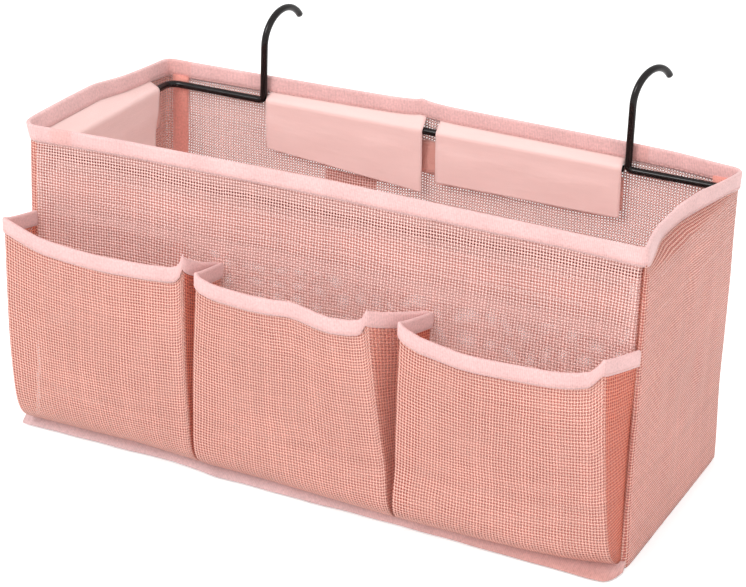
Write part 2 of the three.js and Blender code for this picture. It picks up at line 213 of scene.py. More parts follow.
# Pairs are (left, right), a fold is (x at the edge, x at the hem), and an edge's knots are (share of
# the front from its left fold, height)
POCKETS = {
    "left": Pocket(
        seams=(-0.1972, -0.0692),
        left_fold=(-0.202, -0.2012),
        right_fold=(-0.0773, -0.0745),
        wall_heights=(0.1465, 0.138),
        tint=0.9,
        edge=(
            (0, 0.1513), (0.07, 0.1481), (0.13, 0.1456), (0.19, 0.1435), (0.25, 0.1423), (0.36, 0.1413),
            (0.48, 0.1406), (0.6, 0.1403), (0.82, 0.1412), (0.93, 0.1424), (0.967, 0.1439),
            (0.989, 0.1474), (1, 0.1528),
        ),
    ),
    "middle": Pocket(
        seams=(-0.0668, 0.0685),
        left_fold=(-0.0685, -0.0738),
        right_fold=(0.0434, 0.062),
        wall_heights=(0.1388, 0.1362),
        tint=0.45,
        edge=(
            (0, 0.1431), (0.03, 0.14), (0.09, 0.1379), (0.15, 0.1371), (0.33, 0.1363), (0.45, 0.1369),
            (0.56, 0.1382), (0.62, 0.1374), (0.74, 0.1342), (0.8, 0.1334), (0.91, 0.1344),
            (0.957, 0.1358), (0.979, 0.1376), (1, 0.1432),
        ),
    ),
    "right": Pocket(
        seams=(0.0712, 0.1985),
        left_fold=(0.0644, 0.0626),
        right_fold=(0.1888, 0.1982),
        wall_heights=(0.1362, 0.1406),
        tint=1.0,
        edge=(
            (0, 0.1406), (0.03, 0.1374), (0.057, 0.1359), (0.108, 0.1336), (0.16, 0.1325), (0.31, 0.1299),
            (0.41, 0.1296), (0.6, 0.1305), (0.75, 0.131), (0.845, 0.1325), (0.892, 0.1339),
            (0.939, 0.1358), (0.966, 0.1391), (1, 0.1449),
        ),
    ),
}

# How far the pockets stand out, as (depth, height over which it opens), and how their cloth lies
POCKET_DEPTHS = ((0.0135, 0.0062), (0.0175, 0.03))
# Share of a gusset from its fold over which its painted shade comes in
GUSSET_SHADE_SHARE = 0.08
POCKET_BULGE = 0.0015
POCKET_TAPE = 0.0098
FOLD_RADIUS = 0.0016
FOLD_SHARE = 0.3
BASE_RISE = 0.05
POCKET_ROWS = 40
GUSSET_COLUMNS = 16
FRONT_COLUMNS = 72
FRONT_CROWD_SHARES = (0.3, 0.4)
ROW_CROWD_POWER = 1.4
EDGE_DIP_POWER = 0.6
SEAM_FOLLOW_SHARE = 0.8

# The front hem in plan, as (x, y) of the line where the pockets end and of the tape's outer edge,
# its section, its waves and lumps, and the range of x over which its painted shade grows, with the
# shade's shares at its inner and outer edge
HEM_ROOT = (
    (-0.205, -0.0858), (-0.12, -0.0848), (-0.067, -0.0898), (-0.03, -0.0904), (0.005, -0.0928),
    (0.057, -0.0965), (0.105, -0.097), (0.146, -0.0957), (0.168, -0.0935), (0.18, -0.091),
    (0.194, -0.0868), (0.2, -0.0842),
)
HEM_OUTER = (
    (-0.206, -0.0925), (-0.095, -0.0928), (-0.063, -0.0975), (0, -0.0988), (0.062, -0.0996),
    (0.106, -0.1012), (0.149, -0.103), (0.186, -0.1048), (0.197, -0.1042),
)
HEM_ENDS = (-0.206, 0.2012)
HEM_END_RADIUS = 0.008
HEM_START = 0.0048
HEM_THICKNESS = 0.0011
HEM_COLUMNS = 300
HEM_SIDES = 20
HEM_ROUND_POWER = 0.6
HEM_END_SHARE = 0.96
HEM_WAVE = 0.05
HEM_WAVE_DEPTH = 0.0005
HEM_WAVE_SEED = 12
HEM_LUMP = 0.018
HEM_LUMP_DEPTH = 0.0002
HEM_LUMP_REACH = 0.02
HEM_LUMP_SEED = 14
HEM_SHADE_X = (-0.05, 0.2)
HEM_SHADE_SHARES = (0.25, 0.6)

# Rows of stitches that show on a wall, as (wall, start and end along it in x or y, height)
LOOP_ROWS = (
    ("front", (-0.17, 0.166), 0.1755),
    ("front", (-0.17, 0.166), 0.1605),
    ("right", (-0.062, 0.078), 0.177),
    ("right", (-0.062, 0.078), 0.1555),
    ("left", (-0.062, 0.078), 0.177),
    ("left", (-0.062, 0.078), 0.1555),
    ("back", (-0.118, 0.122), 0.1745),
    ("back", (-0.118, 0.122), 0.155),
)

# A flap's section, its root under the rim, and its unevenness
FLAP_GAP = 0.0008
FLAP_ROOT = 0.0008
FLAP_ROOT_RISE = 0.001
FLAP_ROOT_ROWS = 5
FLAP_HANG_HEIGHT = 0.15
FLAP_BEND = 0.002
FLAP_SLOPE = 0.3
WIDE_BEND = 0.012
FLAP_TOP = float(HINGES["front_flap_body"]["pos_m"][2])
FLAP_WRAP_DEGREES = (60, -12)
FLAP_WRAP_STEPS = 7
FLAP_FOLD_RADIUS = 0.0006
FLAP_FOLD_STEPS = 3
FLAP_ROW = 0.0012
FLAP_COLUMN_SHARE = 1.5
FLAP_HELD_SHARE = 0.2
FLAP_EASE_SHARE = 0.3
FLAP_RELIEF = 0.00045
FLAP_RELIEF_SHARES = (1.2, 0.7, 0.5)
FLAP_LUMP = 0.03
FLAP_LUMP_STRETCH_SHARE = 0.5
FLAP_LUMP_SEED = 20
FLAP_WAVE = 0.05
FLAP_WAVE_SEED = 40
HOOK_TAPE_ROWS = 7


class Flap(NamedTuple):
    """One flap: its wall's inward direction, how deep it hangs at its start and end, how much of its
    packed length is left off there, and a bend below its hinge, which is not used."""

    node: str
    inward: tuple
    depths: tuple
    trims: tuple = (0.0, 0.0)
    bend: float = FLAP_BEND


FLAPS = (
    Flap("front", (0, 1), (0.045, 0.046)),
    Flap("back_left", (0, -1), (0.0375, 0.047)),
    Flap("back_right", (0, -1), (0.0385, 0.038)),
    Flap("left", (1, 0), (0.048, 0.047), (0.0, 0.012)),
    Flap("right", (-1, 0), (0.046, 0.047), bend=WIDE_BEND),
)


# Wire frame
class Hook(NamedTuple):
    """One hook: its side of the frame's middle, its straight rise, bend radius and turn in plan."""

    side: int
    rise: float
    radius: float
    turn: float


HOOKS = (Hook(-1, 0.0365, 0.0215, math.radians(9)), Hook(1, 0.0415, 0.0198, math.radians(18)))
HOOK_WRAP = math.radians(142)
HOOK_STEPS = 25
WIRE_BEND = 0.009
WIRE_BEND_STEPS = 10
FOOT_BEND = 0.003
WIRE_SAG = 0.0018
WIRE_MIDDLE = float(WIRE_LOW[0] + WIRE_HIGH[0]) / 2
HOOK_SPACING = float(WIRE_HIGH[0] - WIRE_LOW[0]) + 2 * (WIRE_RADIUS + CLEARANCE)
FIRST_SPOKE = (0.36, 0.48, 0.8)

# Looks: noise rates in waves a metre, a tone as (start, rise), and a colour's darkest and lightest
# factors
WEAVE_NOISE_RATES = (160.0, 22.0)
WEAVE_DRIFT_SHARE = 6.0
WEAVE_UNEVENNESS_SHARE = 0.3
CROSSING_RISE_SHARE = 0.75
YARN_TONE_OFFSET_SHARE = 0.3
YARN_TONE = (0.9, 0.14)
MESH_PATCH_RATE = 14.0
MESH_PATCH_TONE = (0.87, 0.24)
# Powers of the painted shade between yarns: the higher one, on the side walls, darkens more of each yarn
# towards the gap colour
MESH_GAP_SHADE_POWER = 2.0
SIDE_GAP_SHADE_POWER = 3.0
RIB_PITCH = 0.0011
RIB_WANDER_RATE = 300.0
RIB_WANDER_SHARE = 0.8
RIB_SHARE = 0.2
RIB_GRAIN_RATE = 650.0
RIB_GRAIN_FLOOR_SHARE = 0.3
RIB_GRAIN_GAIN_SHARE = 1.5
RIB_PATCH_RATE = 45.0
RIB_BUMP = 0.00018
RIB_TONE_SHARE = 0.6
RIB_FACTORS = (0.62, 1.2)
FLAP_PITCH = 0.00042
FLAP_YARN_SHARE = 0.98
FLAP_UNEVENNESS_SHARE = 0.4
FLAP_CREASE_STRETCH_SHARES = (0.18, 1.0, 1.0)
FLAP_CREASE_RATE = 260.0
FLAP_PATCH_RATE = 30.0
FLAP_WEAVE_SHARE = 0.3
FLAP_BUMP = 0.0003
FLAP_FACTORS = (0.9, 1.04)
PILE_RATE = 1400.0
PILE_PATCH_RATE = 120.0
PILE_BUMP = 0.0005
PILE_FACTORS = (0.8, 1.08)
THREAD_RATE = 2600.0
THREAD_BUMP = 0.0001
THREAD_FACTORS = (0.8, 1.1)
COAT_RATE = 220.0
COAT_BUMP = 0.00008
COAT_ROUGHNESS_RISE = 0.12
COAT_FACTORS = (0.7, 1.6)

# Stage
SENSOR_MILLIMETRES = 36
VIEW_REACH = 50
STAGE_REACH = 6.0
FLOOR_WHITE = 0.9
CLEAR_BOUNCES = 32

# Each lamp as (name, place, share of the key light's power, size)
LAMPS = (
    ("key_lamp", (-0.8, -1.8, 1.75), 1.0, 0.9),
    ("side_lamp", (1.8, -0.8, 1.2), 0.13, 1.4),
)


# Settings


def length_setting(name, description, default, least=0.0001):
    """A length that the panel shows."""
    return bpy.props.FloatProperty(
        name=name, description=description, default=default, min=least, precision=5, unit="LENGTH"
    )


def share_setting(name, description, default):
    """A share from 0 to 1 that the panel shows."""
    return bpy.props.FloatProperty(
        name=name, description=description, default=default, min=0.0, max=1.0, subtype="FACTOR"
    )


def strength_setting(name, description, default):
    """A power or strength that the panel shows."""
    return bpy.props.FloatProperty(name=name, description=description, default=default, min=0.0)


def angle_setting(name, description, degrees):
    """An angle that the panel shows, given in degrees."""
    return bpy.props.FloatProperty(
        name=name, description=description, default=math.radians(degrees), subtype="ANGLE"
    )


def colour_setting(name, description, default):
    """A colour that the panel shows."""
    return bpy.props.FloatVectorProperty(
        name=name, description=description, default=default, subtype="COLOR"
    )


class CaddyClothSettings(bpy.types.PropertyGroup):
    """Weave, thickness and colours of the cloth and tape. A fuzz is the share of what lies behind that
    the fine fuzz across a hole hides."""

    pitch: length_setting("Weave pitch", "Distance from one yarn of the mesh to the next", 0.00188)
    yarn_share: share_setting("Yarn share", "Width of a yarn as a share of the weave pitch", 0.51)
    thickness: length_setting("Cloth thickness", "Thickness of the mesh cloth", 0.0002)
    flap_thickness: length_setting("Flap thickness", "Thickness of the plain cloth of the flaps", 0.0004)
    swell: length_setting("Swell", "How far the middle of a wall stands out", 0.0015, 0.0)
    fuzz: share_setting("Fuzz", "Share that the front's fuzz hides of what lies behind", 0.1)
    far_fuzz: share_setting("Far fuzz", "The same for the back and the floor", 0.18)
    pocket_fuzz: share_setting("Pocket fuzz", "The same for the pockets", 0.3)
    double_fuzz: share_setting("Double fuzz", "The same where cloth lies double", 0.6)
    side_fuzz: share_setting("Side fuzz", "The same for the side walls", 0.5)
    light_share: share_setting(
        "Light through yarn", "Share of the light that the yarn lets through to what lies behind", 0.6
    )
    mesh_colour: colour_setting("Mesh", "Colour of the mesh yarn", (1.0, 0.74, 0.69))
    pocket_colour: colour_setting("Pocket mesh", "Colour of the pockets' yarn", (0.91, 0.585, 0.495))
    # The colour where a yarn dips between its neighbours is painted shade between the yarns.
    deep_colour: colour_setting(
        "Mesh gaps", "Colour of the yarn where it dips between its neighbours", (0.6, 0.13, 0.09)
    )
    # This factor deepens colour as painted shade in the gussets, the seam slits and along the hem, as well
    # as where cloth lies double.
    tint_colour: colour_setting(
        "Tint", "Factor that deepens cloth where it lies double, as in a gusset", (0.88, 0.47, 0.35)
    )
    tape_colour: colour_setting("Tape", "Colour of the binding", (0.78, 0.475, 0.46))
    hem_colour: colour_setting("Hem", "Colour of the tape along the foot", (0.64, 0.42, 0.415))
    corner_colour: colour_setting(
        "Corner tape", "Colour of the tape over the inner seams", (0.86, 0.33, 0.27)
    )
    flap_colour: colour_setting("Flap", "Colour of the flaps", (0.91, 0.62, 0.585))
    fastener_colour: colour_setting(
        "Fastener", "Colour of the hook-and-loop tape and the patch", (0.82, 0.4, 0.34)
    )
    thread_colour: colour_setting("Thread", "Colour of the stitches", (0.84, 0.52, 0.48))


class CaddyWireSettings(bpy.types.PropertyGroup):
    """Shape and paint of the wire frame."""

    sides: bpy.props.IntProperty(
        name="Sides", description="Number of faces round the wire", default=24, min=8
    )
    paint_colour: colour_setting("Paint", "Colour of the coated wire", (0.006, 0.004, 0.004))
    paint_roughness: share_setting("Paint roughness", "Roughness of the coated wire", 0.14)


class CaddyStageSettings(bpy.types.PropertyGroup):
    """The camera and the studio light."""

    camera_place: bpy.props.FloatVectorProperty(
        name="Camera",
        description="Place of the camera",
        subtype="TRANSLATION",
        unit="LENGTH",
        default=(0.59716, -1.315358, 0.724692),
    )
    camera_turn: angle_setting("Turn", "How far the camera turns from +Y towards +X", -24.596)
    camera_drop: angle_setting("Drop", "How far the camera looks down", 23.358)
    camera_roll: angle_setting("Roll", "Turn about the line of sight", 2.0876)
    lens: bpy.props.FloatProperty(
        name="Lens", description="Focal length in millimetres on a 36 mm sensor", default=121.6, min=10
    )
    key_power: strength_setting("Key light", "Power of the large lamp above the front", 24.0)
    floor_glow: strength_setting("Floor glow", "White that the floor adds in the camera's view", 0.3)
    sky_strength: strength_setting("Sky", "Strength of the even light from all sides", 1.1)


# Shader nodes


def feed(tree, value, socket):
    """Links a socket, or sets a plain value."""
    if isinstance(value, bpy.types.NodeSocket):
        tree.links.new(value, socket)
    else:
        socket.default_value = value


def feed_all(tree, node, **values):
    """Feeds a node's inputs, given by their names in lower case."""
    for socket in node.inputs:
        key = socket.name.lower().replace(" ", "_")
        if key in values:
            feed(tree, values[key], socket)


def calc(tree, operation, *values):
    """The result of a Math node."""
    node = tree.nodes.new("ShaderNodeMath")
    node.operation = operation
    for value, socket in zip(values, node.inputs):
        feed(tree, value, socket)
    return node.outputs[0]


def spread(tree, value, start, rise):
    """A start, plus a value times a rise."""
    return calc(tree, "ADD", start, calc(tree, "MULTIPLY", value, rise))


def blend_colours(tree, share, first, second, kind="MIX"):
    """The result of a Mix Color node: first where share is 0 and second where it is 1."""
    node = tree.nodes.new("ShaderNodeMix")
    node.data_type = "RGBA"
    node.blend_type = kind
    feed(tree, share, node.inputs[0])
    feed(tree, first, node.inputs[6])
    feed(tree, second, node.inputs[7])
    return node.outputs[2]


def noise(tree, vector, rate, detail=2):
    """A Noise Texture's value, about 0 to 1 with its middle at a half."""
    node = tree.nodes.new("ShaderNodeTexNoise")
    feed_all(tree, node, vector=vector, scale=rate, detail=detail)
    return node.outputs[0]


def start_group(name, inputs, outputs):
    """A new node group that takes a vector and numbers and puts out numbers: (group, the sockets of
    what it is given, the sockets of what it puts out)."""
    group = bpy.data.node_groups.new(name, "ShaderNodeTree")
    sockets = [("Vector", "INPUT", "NodeSocketVector")]
    sockets += [(label, "INPUT", "NodeSocketFloat") for label in inputs]
    sockets += [(label, "OUTPUT", "NodeSocketFloat") for label in outputs]
    for label, way, kind in sockets:
        group.interface.new_socket(name=label, in_out=way, socket_type=kind)
    given = group.nodes.new("NodeGroupInput").outputs
    return group, given, group.nodes.new("NodeGroupOutput").inputs


def find_group(name, make):
    """A shared node group, made the first time that it is asked for."""
    return bpy.data.node_groups.get(name) or make(name)


def yarns(group, given, sign, mine, other):
    """The yarns of one direction: (height from the lowest crossing, 1 on a yarn and 0 beside it, a
    random number for each yarn). mine counts pitches across the yarns and other along them."""
    number = calc(group, "FLOOR", mine)
    offset = calc(group, "SUBTRACT", calc(group, "FRACT", mine), 0.5)
    reach = calc(group, "DIVIDE", calc(group, "MULTIPLY", offset, 2.0), given["Yarn Share"])
    section = calc(group, "SUBTRACT", 1.0, calc(group, "MULTIPLY", reach, reach))
    cover = calc(group, "GREATER_THAN", section, 0.0)
    turn = calc(group, "ADD", calc(group, "SUBTRACT", other, 0.5), number)
    wave = calc(group, "COSINE", calc(group, "MULTIPLY", turn, math.pi))
    rounded = calc(group, "SQRT", calc(group, "MAXIMUM", section, 0.0))
    height = spread(group, wave, rounded, CROSSING_RISE_SHARE * sign)
    height = calc(group, "MULTIPLY", calc(group, "ADD", height, 1.0), cover)
    tone = group.nodes.new("ShaderNodeTexWhiteNoise")
    tone.noise_dimensions = "1D"
    feed(group, calc(group, "ADD", number, YARN_TONE_OFFSET_SHARE * sign), tone.inputs["W"])
    return height, cover, tone.outputs[0]


def make_weave(name):
    """Plain weave over a UV map in metres.

    Yarn i runs along V where U / pitch is near i + 1/2, and yarn j along U likewise. At a crossing,
    the first lies on top where i + j is even. Height is a yarn's round section plus a cosine along
    it, the higher yarn counts, and Cover is 0 in the holes between yarns. Level is the height as a
    share of the highest, and Yarn is the upper yarn's own random number.
    """
    group, given, result = start_group(
        name, ["Pitch", "Yarn Share", "Unevenness"], ["Height", "Cover", "Level", "Yarn"]
    )
    split = group.nodes.new("ShaderNodeSeparateXYZ")
    feed(group, given["Vector"], split.inputs[0])
    wander, drift = (
        calc(group, "SUBTRACT", noise(group, given["Vector"], rate, detail=1), 0.5)
        for rate in WEAVE_NOISE_RATES
    )
    shift = calc(group, "MULTIPLY", spread(group, drift, wander, WEAVE_DRIFT_SHARE), given["Unevenness"])
    across = calc(group, "ADD", calc(group, "DIVIDE", split.outputs[0], given["Pitch"]), shift)
    along = calc(group, "SUBTRACT", calc(group, "DIVIDE", split.outputs[1], given["Pitch"]), shift)
    runs = (yarns(group, given, 1, across, along), yarns(group, given, -1, along, across))
    heights, covers, tones = zip(*runs)
    top = calc(group, "MAXIMUM", *heights)
    first_on_top = calc(group, "GREATER_THAN", heights[0], heights[1])
    tone = calc(group, "MULTIPLY", first_on_top, calc(group, "SUBTRACT", tones[0], tones[1]))
    radius = calc(group, "MULTIPLY", calc(group, "MULTIPLY", given["Pitch"], given["Yarn Share"]), 0.5)
    feed(group, calc(group, "MULTIPLY", top, radius), result["Height"])
    feed(group, calc(group, "MAXIMUM", *covers), result["Cover"])
    feed(group, calc(group, "DIVIDE", top, 2.0 + CROSSING_RISE_SHARE), result["Level"])
    feed(group, calc(group, "ADD", tone, tones[1]), result["Yarn"])
    return group


def make_ribs(name):
    """Ribbed tape over a UV map in metres: ribs across the tape as a raised cosine along U, broken
    up by fine noise. Height is 0 to 1, and Patches are broad noise."""
    group, given, result = start_group(name, ["Pitch"], ["Height", "Patches"])
    split = group.nodes.new("ShaderNodeSeparateXYZ")
    feed(group, given["Vector"], split.inputs[0])
    turn = calc(group, "DIVIDE", split.outputs[0], given["Pitch"])
    turn = spread(group, noise(group, given["Vector"], RIB_WANDER_RATE), turn, RIB_WANDER_SHARE)
    wave = calc(group, "COSINE", calc(group, "MULTIPLY", turn, 2 * math.pi))
    grain = noise(group, given["Vector"], RIB_GRAIN_RATE, detail=3)
    rib = calc(group, "MULTIPLY", calc(group, "ADD", wave, 1.0), RIB_SHARE)
    coarse = calc(group, "SUBTRACT", grain, RIB_GRAIN_FLOOR_SHARE)
    coarse = calc(group, "MULTIPLY", coarse, RIB_GRAIN_GAIN_SHARE)
    feed(group, calc(group, "ADD", rib, coarse), result["Height"])
    feed(group, noise(group, given["Vector"], RIB_PATCH_RATE, detail=3), result["Patches"])
    return group


def start_material(name):
    """A new material: (material, tree, Principled BSDF)."""
    material = bpy.data.materials.new(name)
    material.use_nodes = True
    tree = material.node_tree
    return material, tree, tree.nodes["Principled BSDF"]


def place_group(tree, group, **values):
    """A group node in a material, with its inputs set by their names in lower case."""
    node = tree.nodes.new("ShaderNodeGroup")
    node.node_tree = group
    feed_all(tree, node, **values)
    return node.outputs


def add_bump(tree, shader, height, depth, strength=1.0):
    """Feeds the shader's Normal with a bump whose height of 1 is the given depth."""
    bump = tree.nodes.new("ShaderNodeBump")
    bump.inputs["Strength"].default_value = strength
    bump.inputs["Distance"].default_value = depth
    feed(tree, height, bump.inputs["Height"])
    tree.links.new(bump.outputs[0], shader.inputs["Normal"])


def uv_vector(tree):
    """The piece's own UV map, which is in metres."""
    return tree.nodes.new("ShaderNodeUVMap").outputs[0]


def mottled(tree, tone, colour, factors):
    """A colour that runs from its darker to its lighter factor as the tone runs from 0 to 1."""
    dark, light = factors
    base = np.array(colour)
    deep = (*(base * dark), 1.0)
    bright = (*np.minimum(base * light, 1.0), 1.0)
    return blend_colours(tree, tone, deep, bright)


def tint_share(tree):
    """The piece's own attribute, 0 to 1, which deepens colour: painted shade in the gussets, the slits at
    the seams and along the hem, and double cloth in the gussets and where the rim tape's ends overlap.
    """
    attribute = tree.nodes.new("ShaderNodeAttribute")
    attribute.attribute_name = "tint"
    return attribute.outputs["Fac"]


def tinted(tree, colour):
    """A colour, deepened by the factor colour where the piece's attribute says so: painted shade in
    gussets, seam slits and along the hem, and darker double cloth.
    """
    factor = (*bpy.context.scene.caddy_cloth.tint_colour, 1.0)
    return blend_colours(tree, tint_share(tree), colour, factor, "MULTIPLY")


def open_mesh(name="open_mesh", colour=None, depth=MESH_GAP_SHADE_POWER, fuzz=None):
    """Open mesh of coated yarn: holes by Alpha, with fine fuzz across them, lower crossings darker in
    colour by a power of their level as painted shade between the yarns, colour deepened by the
    piece's attribute as painted shade and double cloth, and a soft gloss on the coating. Light
    passes through the yarn in part, so that what lies behind isn't dark."""
    cloth = bpy.context.scene.caddy_cloth
    material, tree, shader = start_material(name)
    vector = uv_vector(tree)
    weave = place_group(
        tree,
        find_group("weave", make_weave),
        vector=vector,
        pitch=cloth.pitch,
        yarn_share=cloth.yarn_share,
        unevenness=WEAVE_UNEVENNESS_SHARE,
    )
    # Painted shade between the yarns: the lower a yarn lies, the nearer its colour comes to the gap
    # colour.
    level = calc(tree, "POWER", weave["Level"], depth)
    colour = blend_colours(tree, level, (*cloth.deep_colour, 1.0), (*(colour or cloth.mesh_colour), 1.0))
    yarn_tone = spread(tree, weave["Yarn"], *YARN_TONE)
    patches = spread(tree, noise(tree, vector, MESH_PATCH_RATE, detail=3), *MESH_PATCH_TONE)
    tone = calc(tree, "MULTIPLY", yarn_tone, patches)
    colour = blend_colours(tree, 1.0, colour, grey(tree, tone), "MULTIPLY")
    ray = tree.nodes.new("ShaderNodeLightPath").outputs
    light = calc(tree, "MAXIMUM", ray["Is Shadow Ray"], ray["Is Diffuse Ray"])
    kept = calc(tree, "SUBTRACT", 1.0, calc(tree, "MULTIPLY", light, cloth.light_share))
    double = calc(tree, "MULTIPLY", tint_share(tree), cloth.double_fuzz)
    hidden = calc(tree, "MAXIMUM", double, fuzz or cloth.fuzz)
    cover = calc(tree, "MAXIMUM", weave["Cover"], hidden)
    alpha = calc(tree, "MULTIPLY", cover, kept)
    feed_all(
        tree,
        shader,
        base_color=tinted(tree, colour),
        alpha=alpha,
        roughness=0.42,
        specular_ior_level=0.45,
    )
    add_bump(tree, shader, weave["Height"], depth=1.0, strength=0.8)
    return material


def pocket_mesh():
    """The pockets' mesh, which is warmer and fuzzier than the wall's."""
    cloth = bpy.context.scene.caddy_cloth
    return open_mesh("pocket_mesh", cloth.pocket_colour, fuzz=cloth.pocket_fuzz)


def far_mesh():
    """The mesh of the back and the floor, which lie behind the front's holes."""
    return open_mesh("far_mesh", fuzz=bpy.context.scene.caddy_cloth.far_fuzz)


def side_mesh():
    """The side walls' mesh, the fuzziest, with the most painted shade between its yarns."""
    cloth = bpy.context.scene.caddy_cloth
    return open_mesh("side_mesh", cloth.pocket_colour, SIDE_GAP_SHADE_POWER, cloth.side_fuzz)


def grey(tree, value):
    """A grey colour of the given value."""
    node = tree.nodes.new("ShaderNodeCombineColor")
    for socket in node.inputs:
        feed(tree, value, socket)
    return node.outputs[0]


def ribbed_tape(name="ribbed_tape", colour=None):
    """Folded binding tape: fine ribs across it, faint patches and a soft sheen."""
    cloth = bpy.context.scene.caddy_cloth
    material, tree, shader = start_material(name)
    ribs = place_group(tree, find_group("ribs", make_ribs), vector=uv_vector(tree), pitch=RIB_PITCH)
    tone = calc(tree, "MULTIPLY", calc(tree, "ADD", ribs["Height"], ribs["Patches"]), RIB_TONE_SHARE)
    colour = tinted(tree, mottled(tree, tone, colour or cloth.tape_colour, RIB_FACTORS))
    feed_all(tree, shader, base_color=colour, roughness=0.72, sheen_weight=0.25, sheen_roughness=0.5)
    add_bump(tree, shader, ribs["Height"], RIB_BUMP, strength=0.8)
    return material


def corner_tape():
    """The deeper pink tape over the inner seams."""
    return ribbed_tape("corner_tape", bpy.context.scene.caddy_cloth.corner_colour)


def hem_tape():
    """The tape along the foot, in a darker colour than the binding."""
    return ribbed_tape("hem_tape", bpy.context.scene.caddy_cloth.hem_colour)


def plain_cloth():
    """Thin plain cloth: a weave too fine to see one by one, faint creases along the flap."""
    material, tree, shader = start_material("plain_cloth")
    vector = uv_vector(tree)
    stretch = tree.nodes.new("ShaderNodeMapping")
    feed_all(tree, stretch, scale=FLAP_CREASE_STRETCH_SHARES, vector=vector)
    creases = noise(tree, stretch.outputs[0], FLAP_CREASE_RATE, detail=4)
    patches = noise(tree, vector, FLAP_PATCH_RATE)
    weave = place_group(
        tree,
        find_group("weave", make_weave),
        vector=vector,
        pitch=FLAP_PITCH,
        yarn_share=FLAP_YARN_SHARE,
        unevenness=FLAP_UNEVENNESS_SHARE,
    )
    tone = calc(tree, "MULTIPLY", calc(tree, "ADD", creases, patches), 0.5)
    colour = mottled(tree, tone, bpy.context.scene.caddy_cloth.flap_colour, FLAP_FACTORS)
    feed_all(tree, shader, base_color=colour, roughness=0.6, sheen_weight=0.2)
    relief = spread(tree, weave["Level"], creases, FLAP_WEAVE_SHARE)
    add_bump(tree, shader, relief, FLAP_BUMP, strength=0.7)
    return material


def fastener_cloth():
    """Hook-and-loop tape: dense short pile, matt and mottled."""
    material, tree, shader = start_material("fastener_cloth")
    vector = uv_vector(tree)
    pile = noise(tree, vector, PILE_RATE, detail=3)
    patches = noise(tree, vector, PILE_PATCH_RATE)
    tone = calc(tree, "MULTIPLY", calc(tree, "ADD", pile, patches), 0.5)
    colour = mottled(tree, tone, bpy.context.scene.caddy_cloth.fastener_colour, PILE_FACTORS)
    feed_all(tree, shader, base_color=colour, roughness=0.9, sheen_weight=0.3)
    add_bump(tree, shader, pile, PILE_BUMP)
    return material


def object_place(tree):
    """A point's place on the piece, in metres."""
    return tree.nodes.new("ShaderNodeTexCoord").outputs["Object"]


def sewing_thread():
    """Sewing thread, with fine noise in its colour and surface."""
    material, tree, shader = start_material("sewing_thread")
    twist = noise(tree, object_place(tree), THREAD_RATE, detail=1)
    colour = mottled(tree, twist, bpy.context.scene.caddy_cloth.thread_colour, THREAD_FACTORS)
    feed_all(tree, shader, base_color=colour, roughness=0.55)
    add_bump(tree, shader, twist, THREAD_BUMP)
    return material


def coated_wire():
    """Black dip-coated wire: a smooth gloss with faint ripples in the coat."""
    wire = bpy.context.scene.caddy_wire
    material, tree, shader = start_material("coated_wire")
    ripples = noise(tree, object_place(tree), COAT_RATE, detail=3)
    colour = mottled(tree, ripples, wire.paint_colour, COAT_FACTORS)
    rough = spread(tree, ripples, wire.paint_roughness, COAT_ROUGHNESS_RISE)
    feed_all(tree, shader, base_color=colour, roughness=rough, specular_ior_level=0.3)
    add_bump(tree, shader, ripples, COAT_BUMP, strength=0.5)
    return material


def find_material(make):
    """The material that a function above makes, made once."""
    return bpy.data.materials.get(make.__name__) or make()


# Paths and grids


def unit(vectors):
    """Vectors of length 1 along the last axis."""
    return vectors / np.linalg.norm(vectors, axis=-1, keepdims=True)


def round_corners(corners, radius, steps=CORNER_STEPS):
    """A path through corners, each inner one replaced by a quadratic curve that leaves the straight
    one radius before the corner and meets the next one radius after it."""
    corners = np.asarray(corners, dtype=float)
    corner = corners[1:-1]
    start = corner + unit(corners[:-2] - corner) * radius
    end = corner + unit(corners[2:] - corner) * radius
    t = np.linspace(0, 1, steps)[None, :, None]
    curve = (1 - t) ** 2 * start[:, None] + 2 * t * (1 - t) * corner[:, None] + t**2 * end[:, None]
    return np.vstack([corners[:1], curve.reshape(-1, corners.shape[1]), corners[-1:]])


def distances(path):
    """Distance along a path at each of its points."""
    steps = np.linalg.norm(np.diff(path, axis=0), axis=1)
    return np.concatenate([[0.0], np.cumsum(steps)])


def read_off(places, along, rows):
    """Rows of values that are given along a path, read off at other distances along it."""
    return np.stack([np.interp(places, along, column) for column in rows.T], axis=1)


def resample(path, spacing):
    """The same path with points at even distances along it."""
    along = distances(path)
    even = np.linspace(0, along[-1], int(np.ceil(along[-1] / spacing)) + 1)
    return read_off(even, along, path)


def sideways(path, closed=False):
    """Level unit vectors to the left of a path, each at right angles to the run through its point."""
    if closed:
        run = np.roll(path, -1, axis=0) - np.roll(path, 1, axis=0)
    else:
        run = np.gradient(path, axis=0)
    return unit(np.stack([-run[:, 1], run[:, 0]], axis=1))


def ease(values):
    """0 to 1 along a smooth step: three times the square less twice the cube."""
    t = np.clip(values, 0, 1)
    return t * t * (3 - 2 * t)


def follow(knots, values):
    """Values read off straight lines through knots, given as (value, result)."""
    return np.interp(values, *np.array(knots).T)


def unevenness(first, second, length, seed):
    """Soft unevenness of cloth: a few sine waves of about the given length, in seeded directions and
    phases, added up and kept within about -1 to 1."""
    random = np.random.default_rng(seed)
    total = np.zeros(np.broadcast(first, second).shape)
    for _ in range(WAVES):
        direction, phase = random.uniform(0, 2 * np.pi, 2)
        rate = 2 * np.pi / length * random.uniform(*WAVE_RATE_SHARES)
        total += np.sin(rate * (first * np.cos(direction) + second * np.sin(direction)) + phase)
    return total * WAVE_SHARE


